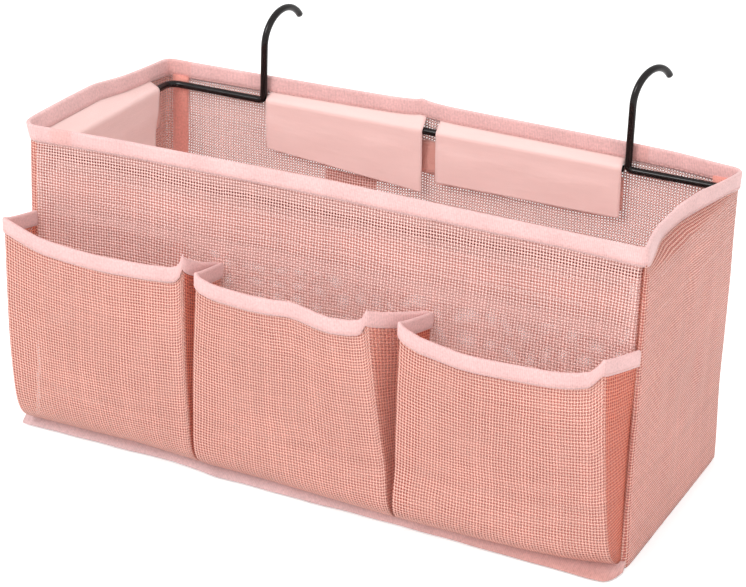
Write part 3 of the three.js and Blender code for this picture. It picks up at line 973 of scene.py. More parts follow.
def grid_mesh(name, points, along, across, wraps=(False, False), capped=False, tint=None):
    """A mesh over a grid of points. along and across are the UV map's values at the grid's lines. A
    wrapped direction joins its last line to its first, and a capped tube closes its two ends. tint,
    0 to 1 at each point, goes with it as an attribute."""
    rows, columns = points.shape[:2]
    row = np.arange(rows if wraps[0] else rows - 1)
    column = np.arange(columns if wraps[1] else columns - 1)
    i, j = (a.ravel() for a in np.meshgrid(row, column, indexing="ij"))
    corner_row = np.stack([i, i + 1, i + 1, i], axis=1)
    corner_column = np.stack([j, j, j + 1, j + 1], axis=1)
    faces = (corner_row % rows) * columns + corner_column % columns
    uv = np.stack([along[corner_row.ravel()], across[corner_column.ravel()]], axis=1)
    polygons = faces.tolist()
    if capped:
        first = np.arange(columns)
        polygons += [first.tolist(), (first[::-1] + (rows - 1) * columns).tolist()]
        uv = np.vstack([uv, np.zeros((2 * columns, 2))])
    mesh = bpy.data.meshes.new(name)
    mesh.from_pydata(points.reshape(-1, 3).tolist(), [], polygons)
    layer = mesh.uv_layers.new(name="UVMap")
    layer.data.foreach_set("uv", uv.ravel().astype(np.float32))
    if tint is not None:
        values = np.broadcast_to(tint, (rows, columns)).ravel().astype(np.float32)
        mesh.attributes.new("tint", "FLOAT", "POINT").data.foreach_set("value", values)
    mesh.shade_smooth()
    return mesh


def add_piece(mesh, make_material, body, replaces=()):
    """Puts a mesh into the scene with its material, slot and body, in place of CAD nodes. Without a
    body, the piece is left unattached."""
    piece = bpy.data.objects.new(mesh.name, mesh)
    bpy.context.scene.collection.objects.link(piece)
    mesh.materials.append(find_material(make_material))
    if replaces:
        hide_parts(*replaces)
    if body:
        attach(piece, body)
    return piece


def thicken(piece, thickness):
    """Gives an open sheet its thickness, half to each side, with closed edges."""
    solidify = piece.modifiers.new("thickness", "SOLIDIFY")
    solidify.thickness = thickness
    solidify.offset = 0
    return piece


def add_tape(name, points, thickness, make_material, body, node):
    """A plain tape or patch over a grid of points, in place of one CAD node."""
    mesh = grid_mesh(name, points, distances(points[:, 0]), distances(points[0]))
    return thicken(add_piece(mesh, make_material, body, [node]), float(thickness))


def upright(axis, along, away, z):
    """An upright grid of points: along lies on the plan axis 0 or 1, away is the place on the other
    one, and z runs up."""
    points = np.zeros((len(along), len(z), 3))
    points[..., axis] = along[:, None]
    points[..., 1 - axis] = away
    points[..., 2] = z[None]
    return points


def add_cloth(name, points, thickness, make_material, body, replaces, tint=None):
    """A sheet of cloth over a grid of points. Its UV map is the distance along its middle row and
    middle column."""
    middle_row = points[:, points.shape[1] // 2]
    middle_column = points[points.shape[0] // 2]
    along, across = distances(middle_row), distances(middle_column)
    mesh = grid_mesh(name, points, along, across, tint=tint)
    piece = thicken(add_piece(mesh, make_material, body, replaces), thickness)
    return piece


# Rim


def rim_shape(x, y):
    """The rim over plan points: height of its upper edge, shifts of its foot and top inwards, and
    width of its tape. The knots are joined along the angle round the box and averaged over a few
    degrees, and a small peak stands where the back is creased."""
    turn = np.degrees(np.arctan2(y / HALF_DEPTH, x / HALF_LENGTH))
    angles, *columns = np.array(RIM_KNOTS).T
    offsets = np.linspace(-RIM_EASE_DEGREES, RIM_EASE_DEGREES, RIM_EASE_STEPS)
    lift, foot, top, width = (
        np.mean([np.interp(turn + offset, angles, column, period=360) for offset in offsets], axis=0)
        for column in columns
    )
    crease = CREASE_LIFT * np.exp(-np.abs(x - CREASE_X) / CREASE_REACH) * (y > 0)
    return RIM_TOP + lift + crease, foot, top, width


def rim_columns(plan):
    """The rim's shape over a plan path, as columns to set against rows of heights."""
    return [column[:, None] for column in rim_shape(plan[:, 0], plan[:, 1])]


def rim_joins(plan):
    """Tint of the rim tape where its ends overlap: within a reach of each join's plan place."""
    near = [np.hypot(plan[:, 0] - x, plan[:, 1] - y) / reach for x, y, reach in RIM_JOINS]
    return JOIN_TINT_SHARE * (1 - ease((np.min(near, axis=0) - 1) / JOIN_EDGE_SHARE + 1))


def rim_plan():
    """Plan of the rim: a rectangle with round corners from the middle of the front, anticlockwise."""
    x = HALF_LENGTH - CLOTH / 2
    y = HALF_DEPTH - CLOTH / 2
    corners = [(0, -y), (x, -y), (x, y), (-x, y), (-x, -y), (0, -y)]
    return resample(round_corners(corners, CORNER_RADIUS), FINE_GRID)[:-1]


def folded_face(height, shoulder, half_width, shares, sign):
    """One face of a folded tape in section, as (side, up) points: up one side, over half a circle
    and down the other. The shares place its foot and its waist."""
    t = np.linspace(0, np.pi, BINDING_STEPS)
    foot, waist = shares
    waist_height = height * BINDING_WAIST_SHARE
    side = np.concatenate([[foot, waist], np.cos(t), [-waist, -foot]]) * half_width * sign
    up = np.concatenate([[0, waist_height], shoulder + half_width * np.sin(t), [waist_height, 0]])
    return np.column_stack([side, up])


def binding_section(height, half_width, thickness):
    """A folded tape in section: up the outside, over a round top, down the outside, and back inside
    at one thickness. Its feet draw in towards the cloth."""
    shoulder = height - half_width
    outside = folded_face(height, shoulder, half_width, BINDING_OUTSIDE_SHARES, -1)
    inside = folded_face(height, shoulder, half_width - thickness, BINDING_INSIDE_SHARES, 1)
    return np.vstack([outside, inside])


def ring_distances(points):
    """Distance round a closed section at each of its points and back at the first."""
    return distances(np.vstack([points, points[:1]]))


def add_binding(name, path, sides, heights, body, replaces, closed=False, shifts=(0.0, 0.0), tint=None):
    """A folded tape whose upper edge is a path, with its height at each point. Its foot and its top
    are shifted along the path's side vectors, and what is between leans from one to the other."""
    heights = np.broadcast_to(heights, len(path))[:, None]
    foot, top = (np.broadcast_to(shift, len(path))[:, None] for shift in shifts)
    section = binding_section(float(heights.mean()), HALF_BINDING, TAPE)
    up_share = section[None, :, 1] / section[:, 1].max()
    side = section[None, :, 0] + foot + (top - foot) * up_share
    points = np.repeat(path[:, None], len(section), axis=1)
    points[..., :2] += sides[:, None] * side[..., None]
    points[..., 2] -= heights * (1 - up_share)
    along = distances(np.vstack([path, path[:1]]) if closed else path)
    around = ring_distances(section)
    mesh = grid_mesh(name, points, along, around, (closed, True), capped=not closed, tint=tint)
    return add_piece(mesh, ribbed_tape, body, replaces)


def add_stitches(name, path, outward, body):
    """A row of stitches: capsules with a few sides along a path, pressed partly into what they sew."""
    along = distances(path)
    centres = np.arange(STITCH_PITCH, along[-1], STITCH_PITCH)
    middle = read_off(centres, along, path)
    run = unit(read_off(centres + STITCH_LENGTH / 4, along, path) - middle)
    out = unit(read_off(centres, along, outward))
    third = np.cross(run, out)
    turn = np.linspace(0, 2 * np.pi, STITCH_SIDES, endpoint=False)
    reach = np.array(STITCH_STATION_SHARES)[:, None, None] * STITCH_LENGTH
    ring = np.array(STITCH_WIDTH_SHARES)[:, None, None] * STITCH_RADIUS
    points = middle[:, None, None] + run[:, None, None] * reach
    points = points + ring * np.cos(turn)[None, :, None] * out[:, None, None]
    points = points + ring * np.sin(turn)[None, :, None] * third[:, None, None]
    return add_piece(capsule_mesh(name, points), sewing_thread, body)


def capsule_mesh(name, points):
    """One mesh of many capsules, given as (capsule, station, side) points, each with closed ends."""
    count, stations, sides = points.shape[:3]
    first = np.arange(count)[:, None] * (stations * sides)
    station, side = np.divmod(np.arange((stations - 1) * sides), sides)
    low = station * sides
    high = low + sides
    beside = (side + 1) % sides
    quads = np.stack([low + side, high + side, high + beside, low + beside], axis=1)
    faces = (first[:, None] + quads[None]).reshape(-1, 4).tolist()
    ends = np.arange(sides)
    faces += (first + ends[None]).tolist()
    faces += (first + (stations - 1) * sides + ends[None, ::-1]).tolist()
    mesh = bpy.data.meshes.new(name)
    mesh.from_pydata(points.reshape(-1, 3).tolist(), [], faces)
    mesh.shade_smooth()
    return mesh


class CaddyOperator:
    """What the operators share."""

    bl_options = {"REGISTER", "UNDO"}

    @classmethod
    def poll(cls, context):
        return context.scene is not None


class CADDY_OT_rim(CaddyOperator, bpy.types.Operator):
    """Make the rim binding and its stitches"""

    bl_idname = "caddy.rim"
    bl_label = "Rim binding"

    def execute(self, context):
        plan = rim_plan()
        height, foot, top, width = rim_shape(plan[:, 0], plan[:, 1])
        path = np.column_stack([plan, height])
        sides = sideways(plan, closed=True)
        add_binding(
            "rim_tape", path, sides, width, "bag", ["rim_binding"], closed=True, shifts=(foot, top),
            tint=rim_joins(plan)[:, None],
        )
        level = (STITCH_FROM_EDGE / width)[:, None]
        shift = foot[:, None] + (top - foot)[:, None] * level
        for name, sign in (("outside", -1), ("inside", 1)):
            row = path.copy()
            row[:, :2] += sides * (shift + sign * HALF_BINDING * STITCH_SINK_SHARE)
            row[:, 2] -= width - STITCH_FROM_EDGE
            offset = np.column_stack([sides * sign, np.zeros(len(path))])
            closed_row, closed_offset = (np.vstack([part, part[:1]]) for part in (row, offset))
            add_stitches(f"rim_stitches_{name}", closed_row, closed_offset, "bag")
        return {"FINISHED"}


# Walls and floor


def with_fine_ends(plan):
    """A plan path at an even grid, with finer points within a few millimetres of its two ends."""
    along = distances(plan)
    total = along[-1]
    even = np.linspace(0, total, int(total / GRID) + 1)[1:-1]
    fine = np.arange(0, 2 * SEAM_REACH, SEAM_GAP)
    curved = along[(along > 2 * SEAM_REACH) & (along < total - 2 * SEAM_REACH)]
    even = even[(even > 2 * SEAM_REACH) & (even < total - 2 * SEAM_REACH)]
    places = np.unique(np.concatenate([fine, curved if len(curved) > 2 else even, total - fine]))
    return read_off(places, along, plan)


def wall_lean(plan, z, foot, foot_in):
    """Shift inwards of a wall under the rim: the tape's foot shift, eased in between two heights."""
    low, high = (np.where(plan[:, :1] < 0, left, right) for left, right in zip(LEFT_LEAN, RIGHT_LEAN))
    high = np.minimum(high, foot)
    return foot_in * ease((z - low) / (high - low))


def hem_reach(x):
    """How far the hem pulls the front's foot outwards, at each x."""
    return FRONT_Y - follow(HEM_ROOT, x)


def hem_pull(plan, z):
    """Shift outwards of a wall's foot: all of the hem's reach along the front and none past its
    corners, and eased out over the base rise."""
    front = np.clip(1 - (HALF_DEPTH + plan[:, 1:]) / CORNER_RADIUS, 0, 1)
    return front * hem_reach(plan[:, :1]) * (1 - ease(z / BASE_RISE))


def wall_points(plan, seed, seam_shares):
    """Cloth standing on a plan path. Each column rises from the floor to under the rim tape and leans
    with it. The cloth swells outwards by a sine over its length times a sine over its height, with
    soft folds. Its foot follows the hem and leans outwards on the right, and near a seam it turns
    inwards by a square of the distance left to its edge. The second result deepens the colour of
    what is turned in: painted shade in the slit at each seam."""
    swell = bpy.context.scene.caddy_cloth.swell
    side = sideways(plan)
    length = distances(plan)
    head, foot_in, top_in, width = rim_columns(plan)
    foot = head - width
    low = CLOTH + CLEARANCE
    rise = np.linspace(0, 1 - BEND_SHARE, int((RIM_TOP - low) / GRID))
    rise = np.concatenate([rise, np.linspace(1 - BEND_SHARE, 1, BEND_ROWS)[1:]])[None]
    tape_share = np.linspace(0, 1, TAPE_ROWS)[None, 1:]
    z = np.hstack([low + rise * (foot - low), foot + tape_share * (width - TAPE - CLEARANCE)])
    tape = np.clip((z - foot) / width, 0, 1)
    shift = wall_lean(plan, z, foot, foot_in) + (top_in - foot_in) * tape
    share = length[:, None] / length[-1]
    hold = np.sin(np.pi * share) ** WALL_SWELL_POWER * np.sin(np.pi * np.clip(z / RIM_TOP, 0, 1))
    broad = unevenness(length[:, None], z, WALL_WAVE, seed)
    along_stretch, up_stretch = WALL_FOLD_STRETCH_SHARES
    folds = unevenness(length[:, None] * along_stretch, z * up_stretch, WALL_FOLD, seed + WALL_FOLD_SEED)
    out = swell * hold * (1 + WALL_WAVE_SHARE * broad + WALL_FOLD_SHARE * folds)
    right_share = (plan[:, None, 0] > 0) * np.abs(side[:, None, 0])
    foot_lean = FOOT_LEAN * (1 - ease(z / FOOT_LEAN_START)) * right_share
    turned = 0
    for seam_share, distance in zip(seam_shares, (length, length[-1] - length)):
        turned = turned + seam_share * SEAM_DEPTH * np.clip(1 - distance[:, None] / SEAM_REACH, 0, 1) ** 2
    turned = turned * (1 - ease((z - foot + TAPE) / TAPE))
    inwards = shift + turned - out - foot_lean
    points = np.zeros((*z.shape, 3))
    points[..., :2] = plan[:, None] + side[:, None] * inwards[..., None]
    points[..., 1] -= hem_pull(plan, z)
    points[..., 2] = z
    # The second result is painted shade in the slit where a seam turns in.
    return points, np.clip(turned / SEAM_DEPTH, 0, 1) ** 2


def side_plan(sign):
    """Plan of a side wall, from its front seam round both corners to its back seam. It runs
    anticlockwise on the right and is mirrored on the left, where its front end laps behind the
    front wall's."""
    x = HALF_LENGTH - CLOTH / 2
    y = HALF_DEPTH - CLOTH / 2
    seam = x - SEAM_FROM_CORNER + SEAM_GAP
    back_seam = x - BACK_SEAM_FROM_CORNER + SEAM_GAP
    front_y = -y
    if sign < 0:
        seam -= LAP
        front_y += LAP_GAP
    corners = [(seam, front_y), (x, front_y), (x, y), (back_seam, y)]
    plan = with_fine_ends(resample(round_corners(corners, SEAM_CORNER_RADIUS), FINE_GRID))
    plan[:, 0] *= sign
    return plan[::sign]


class CADDY_OT_walls(CaddyOperator, bpy.types.Operator):
    """Make the four walls, the floor and the patch on the back"""

    bl_idname = "caddy.walls"
    bl_label = "Walls and floor"

    def execute(self, context):
        thickness = context.scene.caddy_cloth.thickness
        x = HALF_LENGTH - CLOTH / 2 - SEAM_GAP
        y = HALF_DEPTH - CLOTH / 2
        seam, back_seam = x - SEAM_FROM_CORNER, x - BACK_SEAM_FROM_CORNER
        back = BACK_SEAM_SHARE
        plans = {
            "front": (with_fine_ends(np.array([(-seam, -y), (seam, -y)])), (0, 1)),
            "back": (with_fine_ends(np.array([(back_seam, y), (-back_seam, y)])), (back, back)),
            "right": (side_plan(1), (1, back)),
            "left": (side_plan(-1), (back, 0)),
        }
        for seed, (name, (plan, seam_shares)) in enumerate(plans.items()):
            points, tint = wall_points(plan, seed, seam_shares)
            make_mesh = {"front": open_mesh, "back": far_mesh}.get(name, side_mesh)
            add_cloth(
                f"{name}_wall_cloth", points, thickness, make_mesh, "bag",
                [f"{name}_panel"], tint,
            )
            self.add_loop_rows(name, points, sideways(plan))
        self.add_floor(thickness)
        self.add_patch()
        return {"FINISHED"}

    def add_loop_rows(self, wall, points, side):
        """The rows of stitches that hold a loop tape, on the outer face of its wall: each runs where
        the wall's columns reach its height."""
        axis = 0 if wall in ("front", "back") else 1
        for number, (name, (start, end), height) in enumerate(LOOP_ROWS):
            if name != wall:
                continue
            above = np.argmax(points[..., 2] > height, axis=1)
            column = np.arange(len(points))
            low, high = points[column, above - 1], points[column, above]
            share = (height - low[:, 2]) / (high[:, 2] - low[:, 2])
            row = low + (high - low) * share[:, None]
            kept = (row[:, axis] > start) & (row[:, axis] < end)
            offset = np.column_stack([-side[kept], np.zeros(kept.sum())])
            add_stitches(f"{wall}_loop_stitches_{number}", row[kept], offset, "bag")

    def add_floor(self, thickness):
        """The floor: a rectangle whose corners round off as the two grid directions near 1 together,
        whose front edge follows the hem and whose right edge follows the right wall's foot."""
        x_share = np.linspace(-1, 1, int(2 * HALF_LENGTH / GRID))[:, None]
        y_share = np.linspace(-1, 1, int(2 * HALF_DEPTH / GRID))[None]
        x_power, y_power = FLOOR_ROUND_POWERS
        inset = CORNER_RADIUS * FLOOR_ROUND_SHARE
        x_inset = inset * np.abs(y_share) ** x_power * np.ones_like(x_share)
        y_inset = inset * np.abs(x_share) ** y_power * np.ones_like(y_share)
        points = np.zeros((x_share.size, y_share.size, 3))
        points[..., 0] = x_share * (HALF_LENGTH - CLEARANCE - x_inset)
        points[..., 1] = y_share * (HALF_DEPTH - CLEARANCE - y_inset)
        points[..., 1] -= hem_reach(points[..., 0]) * ease(-y_share)
        points[..., 0] += FOOT_LEAN * ease(x_share)
        points[..., 2] = CLOTH / 2
        add_cloth(
            "floor_cloth", points, thickness, far_mesh, "bag",
            ["floor_panel"],
        )

    def add_patch(self):
        """The plain patch sewn on the outside of the back."""
        low, high = node_box("back_patch")
        x = np.linspace(high[0], low[0], PATCH_COLUMNS)
        z = np.linspace(low[2], high[2], PATCH_ROWS)
        y = (low[1] + high[1]) / 2 + bpy.context.scene.caddy_cloth.swell
        points = upright(0, x, y, z)
        add_tape("patch_cloth", points, high[1] - low[1], fastener_cloth, "bag", "back_patch")


# Pockets


def pocket_out(height):
    """How far the pocket's front stands from its base at a height: two depths, each less an
    exponential that closes it towards the hem, a quick one and a slow one."""
    above = np.maximum(height - HEM_START, 0)
    return sum(depth * (1 - np.exp(-above / rounding)) for depth, rounding in POCKET_DEPTHS)


def soft_ramp(values, radius):
    """0 below -radius and the value itself above radius, with a parabola between them."""
    bend = (values + radius) ** 2 / (4 * radius)
    return np.where(values > radius, values, np.where(values < -radius, 0, bend))


def pocket_columns():
    """The columns across a pocket, which crowd towards its folds: (how much of the left gusset is
    still to come, how far along the front, how much of the right gusset is over), each 0 to 1."""
    gusset = np.sin(np.pi / 2 * np.linspace(0, 1, GUSSET_COLUMNS))
    even = np.linspace(0, 1, FRONT_COLUMNS)
    crowd_share, even_share = FRONT_CROWD_SHARES
    front = even_share * even - crowd_share * np.cos(np.pi * even)
    front = (front - front[0]) / (front[-1] - front[0])
    left_share = np.concatenate([1 - gusset[:-1], 0 * front, 0 * gusset[1:]])
    front_share = np.concatenate([0 * gusset[:-1], front, 0 * gusset[1:] + 1])
    right_share = np.concatenate([0 * gusset[:-1], 0 * front, 1 - gusset[::-1][1:]])
    return left_share[:, None], front_share[:, None], right_share[:, None]


def base_line(x, z):
    """Where a pocket's seams and folds start from, at each x and height: on the hem's line at the
    foot, and eased back to the wall over the base rise."""
    root = follow(HEM_ROOT, x)
    return root + (FRONT_Y - root) * ease(z / BASE_RISE)


def pocket_lines(pocket, z, rise):
    """The plan places of a pocket's two folds and two seams, at each height. A fold slants from the
    hem to the edge and stands out by pocket_out, and near the foot a seam keeps close to it."""
    folds = []
    for edge_x, hem_x in (pocket.left_fold, pocket.right_fold):
        x = hem_x + (edge_x - hem_x) * rise + 0 * z
        folds.append(np.stack([x, base_line(x, z) - pocket_out(z)], axis=2))
    seams = []
    for x, fold in zip(pocket.seams, folds):
        seam_x = x + (fold[..., 0] - x) * (1 - rise) * SEAM_FOLLOW_SHARE
        seams.append(np.stack([seam_x, base_line(x, z)], axis=2))
    return folds, seams


def pocket_points(pocket):
    """A pocket's cloth as (across, up) points. Across, a distance d runs from the left seam over the
    left fold at 0 and the right fold at W to the right seam. A point's plan place is the left fold,
    plus the left gusset's direction times ramp(-d), the front's times ramp(d) - ramp(d - W) and the
    right gusset's times ramp(d - W), where ramp is a soft ramp that rounds the folds. Up, the height
    runs from the hem to the edge. The front bulges by a squared sine and its foot bows with the hem.
    The second result deepens the gussets' colour: painted shade in the folded gussets, along with their
    double layer."""
    left_share, front_share, right_share = pocket_columns()
    rise = np.linspace(0, 1, POCKET_ROWS)[None] ** ROW_CROWD_POWER
    edge = follow(pocket.edge, front_share)
    for wall_height, gusset_share in zip(pocket.wall_heights, (left_share, right_share)):
        edge = edge + (wall_height - edge) * gusset_share**EDGE_DIP_POWER
    z = HEM_START + (edge - HEM_START) * rise
    folds, seams = pocket_lines(pocket, z, rise)
    runs = (seams[0] - folds[0], folds[1] - folds[0], seams[1] - folds[1])
    left_length, width, right_length = lengths = [np.linalg.norm(run, axis=2) for run in runs]
    d = front_share * width - left_share * left_length + right_share * right_length
    radius = np.minimum(FOLD_RADIUS, FOLD_SHARE * np.minimum(left_length, right_length))
    past_right = soft_ramp(d - width, radius)
    steps = (soft_ramp(-d, radius), soft_ramp(d, radius) - past_right, past_right)
    plan = folds[0].copy()
    for run, length, step in zip(runs, lengths, steps):
        plan += run * (step / length)[..., None]
    plan[..., 1] -= POCKET_BULGE * np.sin(np.pi * front_share) ** 2 * ease(z / BASE_RISE)
    left_root, right_root = (follow(HEM_ROOT, fold[..., 0]) for fold in folds)
    bow = follow(HEM_ROOT, plan[..., 0]) - left_root - (right_root - left_root) * front_share
    gussets = left_share + right_share
    plan[..., 1] += bow * (gussets == 0) * (1 - ease(z / BASE_RISE))
    return np.dstack([plan, z]), pocket.tint * np.clip(gussets / GUSSET_SHADE_SHARE, 0, 1)


class CADDY_OT_pockets(CaddyOperator, bpy.types.Operator):
    """Make the three bellows pockets with their bindings and stitches"""

    bl_idname = "caddy.pockets"
    bl_label = "Pockets"

    def execute(self, context):
        thickness = context.scene.caddy_cloth.thickness
        for name, pocket in POCKETS.items():
            points, tint = pocket_points(pocket)
            edge = points[:, -1].copy()
            cloth = points.copy()
            rise = (cloth[..., 2] - HEM_START) / (edge[:, None, 2] - HEM_START)
            cloth[..., 2] -= rise * (TAPE + CLEARANCE)
            add_cloth(
                f"pocket_{name}_cloth", cloth, thickness, pocket_mesh, "bag",
                [f"pocket_{name}"], tint,
            )
            path = resample(edge, FOLD_GRID)
            sides = sideways(path)
            add_binding(f"pocket_tape_{name}", path, sides, POCKET_TAPE, "bag", [f"pocket_binding_{name}"])
            offset = np.column_stack([-sides, np.zeros(len(path))])
            sewn = path - UP * (POCKET_TAPE - STITCH_FROM_EDGE)
            sewn = sewn + offset * (HALF_BINDING * STITCH_SINK_SHARE)
            add_stitches(f"pocket_stitches_{name}", sewn, offset, "bag")
        return {"FINISHED"}


# Hem and seam tapes


class CADDY_OT_tapes(CaddyOperator, bpy.types.Operator):
    """Make the front hem, the seam tapes inside and the loop tapes"""

    bl_idname = "caddy.tapes"
    bl_label = "Hem and tapes"

    def execute(self, context):
        self.add_hem()
        for node in ("corner_tape_back_left", "corner_tape_back_right"):
            self.add_strip(node, 1, corner_tape, "binding")
        for node in ("corner_tape_front_left", "corner_tape_front_right"):
            self.add_strip(node, 0, corner_tape, "binding")
        for node in ("front_loop_tape", "back_loop_tape"):
            self.add_strip(node, 1, fastener_cloth, "fastener")
        for node in ("left_loop_tape", "right_loop_tape"):
            self.add_strip(node, 0, fastener_cloth, "fastener")
        self.add_floor_seam()
        return {"FINISHED"}

    def add_hem(self):
        """The hem: a flat folded tape, carried along the line where the pockets end, that lies out
        and down from there. Its section is a flat ring with round edges, and its right end is
        round."""
        x = np.linspace(*HEM_ENDS, HEM_COLUMNS)
        root = follow(HEM_ROOT, x)
        waves = unevenness(x, 0 * x, HEM_WAVE, HEM_WAVE_SEED) * HEM_WAVE_DEPTH
        width = root - follow(HEM_OUTER, x) + waves
        to_end = np.clip((x[-1] - x) / HEM_END_RADIUS, 0, 1)
        width = width * np.sqrt(1 - (1 - to_end) ** 2 * HEM_END_SHARE)
        turn = np.linspace(0, 2 * np.pi, HEM_SIDES, endpoint=False)
        reach = (1 - np.sign(np.cos(turn)) * np.abs(np.cos(turn)) ** HEM_ROUND_POWER) / 2
        lumps = unevenness(x[:, None], reach[None] * HEM_LUMP_REACH, HEM_LUMP, HEM_LUMP_SEED)
        lumps = lumps * HEM_LUMP_DEPTH
        y = root[:, None] - width[:, None] * reach[None]
        z = HEM_THICKNESS + CLEARANCE + HEM_START * (1 - reach)[None] + HEM_THICKNESS * np.sin(turn)[None]
        z = z + lumps * (1 - reach)[None]
        points = np.stack([x[:, None] + 0 * z, y, z], axis=2)
        along = distances(np.column_stack([x, root, 0 * x]))
        section = np.column_stack([reach * float(width.mean()), HEM_THICKNESS * np.sin(turn)])
        around = ring_distances(section)
        # Painted shade on the hem: darker towards the right and towards its outer edge.
        start, end = HEM_SHADE_X
        low, high = HEM_SHADE_SHARES
        tint = ease((x - start) / (end - start))[:, None] * (low + (high - low) * reach[None])
        mesh = grid_mesh("front_hem_tape", points, along, around, (False, True), capped=True, tint=tint)
        add_piece(mesh, hem_tape, "bag", ["front_hem_binding"])

    def add_strip(self, node, thin_axis, make_material, slot):
        """A flat tape as thick as its node's box, its face slightly uneven, as a sheet with an edge
        all round. thin_axis is the axis across its thickness."""
        low, high = node_box(node)
        long_axis = 1 - thin_axis
        size = high - low
        columns, rows = int(size[long_axis] / GRID), int(size[2] / GRID)
        along = np.linspace(low[long_axis], high[long_axis], max(columns, STRIP_COLUMNS))
        z = np.linspace(low[2], high[2], max(rows, STRIP_ROWS))
        points = upright(long_axis, along, (low[thin_axis] + high[thin_axis]) / 2, z)
        head, foot_in, _, width = rim_columns(points[:, 0])
        lean = wall_lean(points[:, 0], z, head - width, foot_in)
        points[..., thin_axis] -= np.sign(low[thin_axis]) * lean
        add_tape(f"{node}_strip", points, size[thin_axis], make_material, "bag", node)

    def add_floor_seam(self):
        """The floor's seam tape: an upright strip along the left, back and right walls."""
        low, high = node_box("floor_seam_tape")
        x, y = high[:2] - TAPE
        corners = [(-x, low[1]), (-x, y), (x, y), (x, low[1])]
        plan = resample(round_corners(corners, CORNER_RADIUS), GRID)
        plan[:, 0] += FOOT_LEAN * ease(plan[:, 0] / x)
        z = np.linspace(low[2], high[2], FLOOR_SEAM_ROWS)
        points = np.zeros((len(plan), len(z), 3))
        points[..., :2] = plan[:, None]
        points[..., 2] = z[None]
        add_tape("floor_seam_strip", points, 2 * TAPE, ribbed_tape, "bag", "floor_seam_tape")


# Flaps


def fastener_face():
    """Distance from the wall's inner face to the face of a closed flap's hook tape."""
    return float(node_box("front_hook_tape")[1][1]) + HALF_DEPTH - CLOTH


def flap_profile(depth):
    """A flap in section as (inward, height) points: over the wire, round its inner side, in a long
    slant back to the wall and down to the given depth below the hinge."""
    inset = HALF_DEPTH - CLOTH - WIRE_Y
    wrap = WIRE_RADIUS + FLAP_GAP
    turn = np.radians(np.linspace(*FLAP_WRAP_DEGREES, FLAP_WRAP_STEPS))
    over = np.column_stack([inset + wrap * np.cos(turn), WIRE_HEIGHT + wrap * np.sin(turn)])
    hang = fastener_face() + FLAP_GAP
    return np.vstack([over, [(hang, FLAP_HANG_HEIGHT), (hang, FLAP_TOP - depth)]])


def flap_span(flap, node):
    """The box of one of the flap's nodes, the plan axis along its wall, and where it starts and ends
    on that axis."""
    low, high = node_box(node)
    axis = 0 if flap.inward[0] == 0 else 1
    return low, high, axis, low[axis] + flap.trims[0], high[axis] - flap.trims[1]


def flap_points(flap, seed):
    """A flap's cloth as (along, down) points: from under the rim tape, wherever that is along its
    wall, straight to its section over the wire. The free part is uneven, and its lower edge slants
    from one depth to the other."""
    _, _, axis, start, end = flap_span(flap, f"{flap.node}_flap")
    inward = np.array(flap.inward)
    half = (HALF_DEPTH if axis == 0 else HALF_LENGTH) - CLOTH
    along = np.linspace(start, end, int((end - start) / FINE_GRID / FLAP_COLUMN_SHARE))[:, None]
    profile = round_corners(flap_profile(flap.depths[0]), FLAP_FOLD_RADIUS, FLAP_FOLD_STEPS)
    section = resample(profile, FLAP_ROW)
    run = distances(section)[None]
    free = ease((run / run[0, -1] - FLAP_HELD_SHARE) / FLAP_EASE_SHARE)
    lumps = unevenness(along * FLAP_LUMP_STRETCH_SHARE, run, FLAP_LUMP, seed + FLAP_LUMP_SEED)
    waves = unevenness(along, run, FLAP_WAVE, seed + FLAP_WAVE_SEED)
    even_share, lump_share, wave_share = FLAP_RELIEF_SHARES
    relief = FLAP_RELIEF * (even_share + lump_share * lumps + wave_share * waves)
    hang_in = section[None, :, 0] + free * relief
    depths = flap.depths[0] + (flap.depths[1] - flap.depths[0]) * (along - start) / (end - start)
    wire_below = WIRE_HEIGHT - FLAP_TOP
    stretch = (wire_below + depths) / (wire_below + flap.depths[0])
    below = np.maximum(WIRE_HEIGHT - section[None, :, 1], 0)
    hang_z = section[None, :, 1] - below * (stretch - 1)
    plan = np.repeat(-inward[None] * half, len(along), axis=0)
    plan[:, axis] = along[:, 0]
    head, foot_in, _, width = rim_columns(plan)
    share = np.linspace(0, 1, FLAP_ROOT_ROWS + 1)[None, :-1]
    root_in = FLAP_ROOT + foot_in
    root_z = head - width + FLAP_ROOT_RISE
    hang_in = np.maximum(hang_in, root_in - FLAP_SLOPE * (root_z - hang_z))
    depth_in = np.hstack([root_in + (hang_in[:, :1] - root_in) * share, hang_in])
    height = np.hstack([root_z + (hang_z[:, :1] - root_z) * share, hang_z])
    points = np.zeros((*height.shape, 3))
    points[..., axis] = along
    points[..., 1 - axis] = inward[1 - axis] * (depth_in - half)
    points[..., 2] = height
    return points[::-1] if inward.sum() < 0 else points


class CADDY_OT_flaps(CaddyOperator, bpy.types.Operator):
    """Make the five flaps and their hook tapes"""

    bl_idname = "caddy.flaps"
    bl_label = "Flaps"

    def execute(self, context):
        for seed, flap in enumerate(FLAPS):
            self.add_flap(flap, context.scene.caddy_cloth.flap_thickness, seed)
        return {"FINISHED"}

    def add_flap(self, flap, thickness, seed):
        """A flap's cloth, without a body, and its hook tape."""
        body = f"{flap.node}_flap_body"
        cloth = add_cloth(
            f"{flap.node}_flap_cloth", flap_points(flap, seed), thickness, plain_cloth, None,
            [f"{flap.node}_flap"],
        )
        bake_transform(cloth)
        self.add_hook_tape(flap, body)

    def add_hook_tape(self, flap, body):
        """The hook tape between the flap and the wall."""
        node = f"{flap.node}_hook_tape"
        low, high, axis, start, end = flap_span(flap, node)
        across = np.linspace(start, end, max(int((end - start) / GRID), STRIP_COLUMNS))
        z = np.linspace(low[2], high[2], HOOK_TAPE_ROWS)
        thin = 1 - axis
        points = upright(axis, across, (low[thin] + high[thin]) / 2, z)
        thickness = high[thin] - low[thin]
        add_tape(f"{node}_strip", points, thickness, fastener_cloth, body, node)


# Wire frame


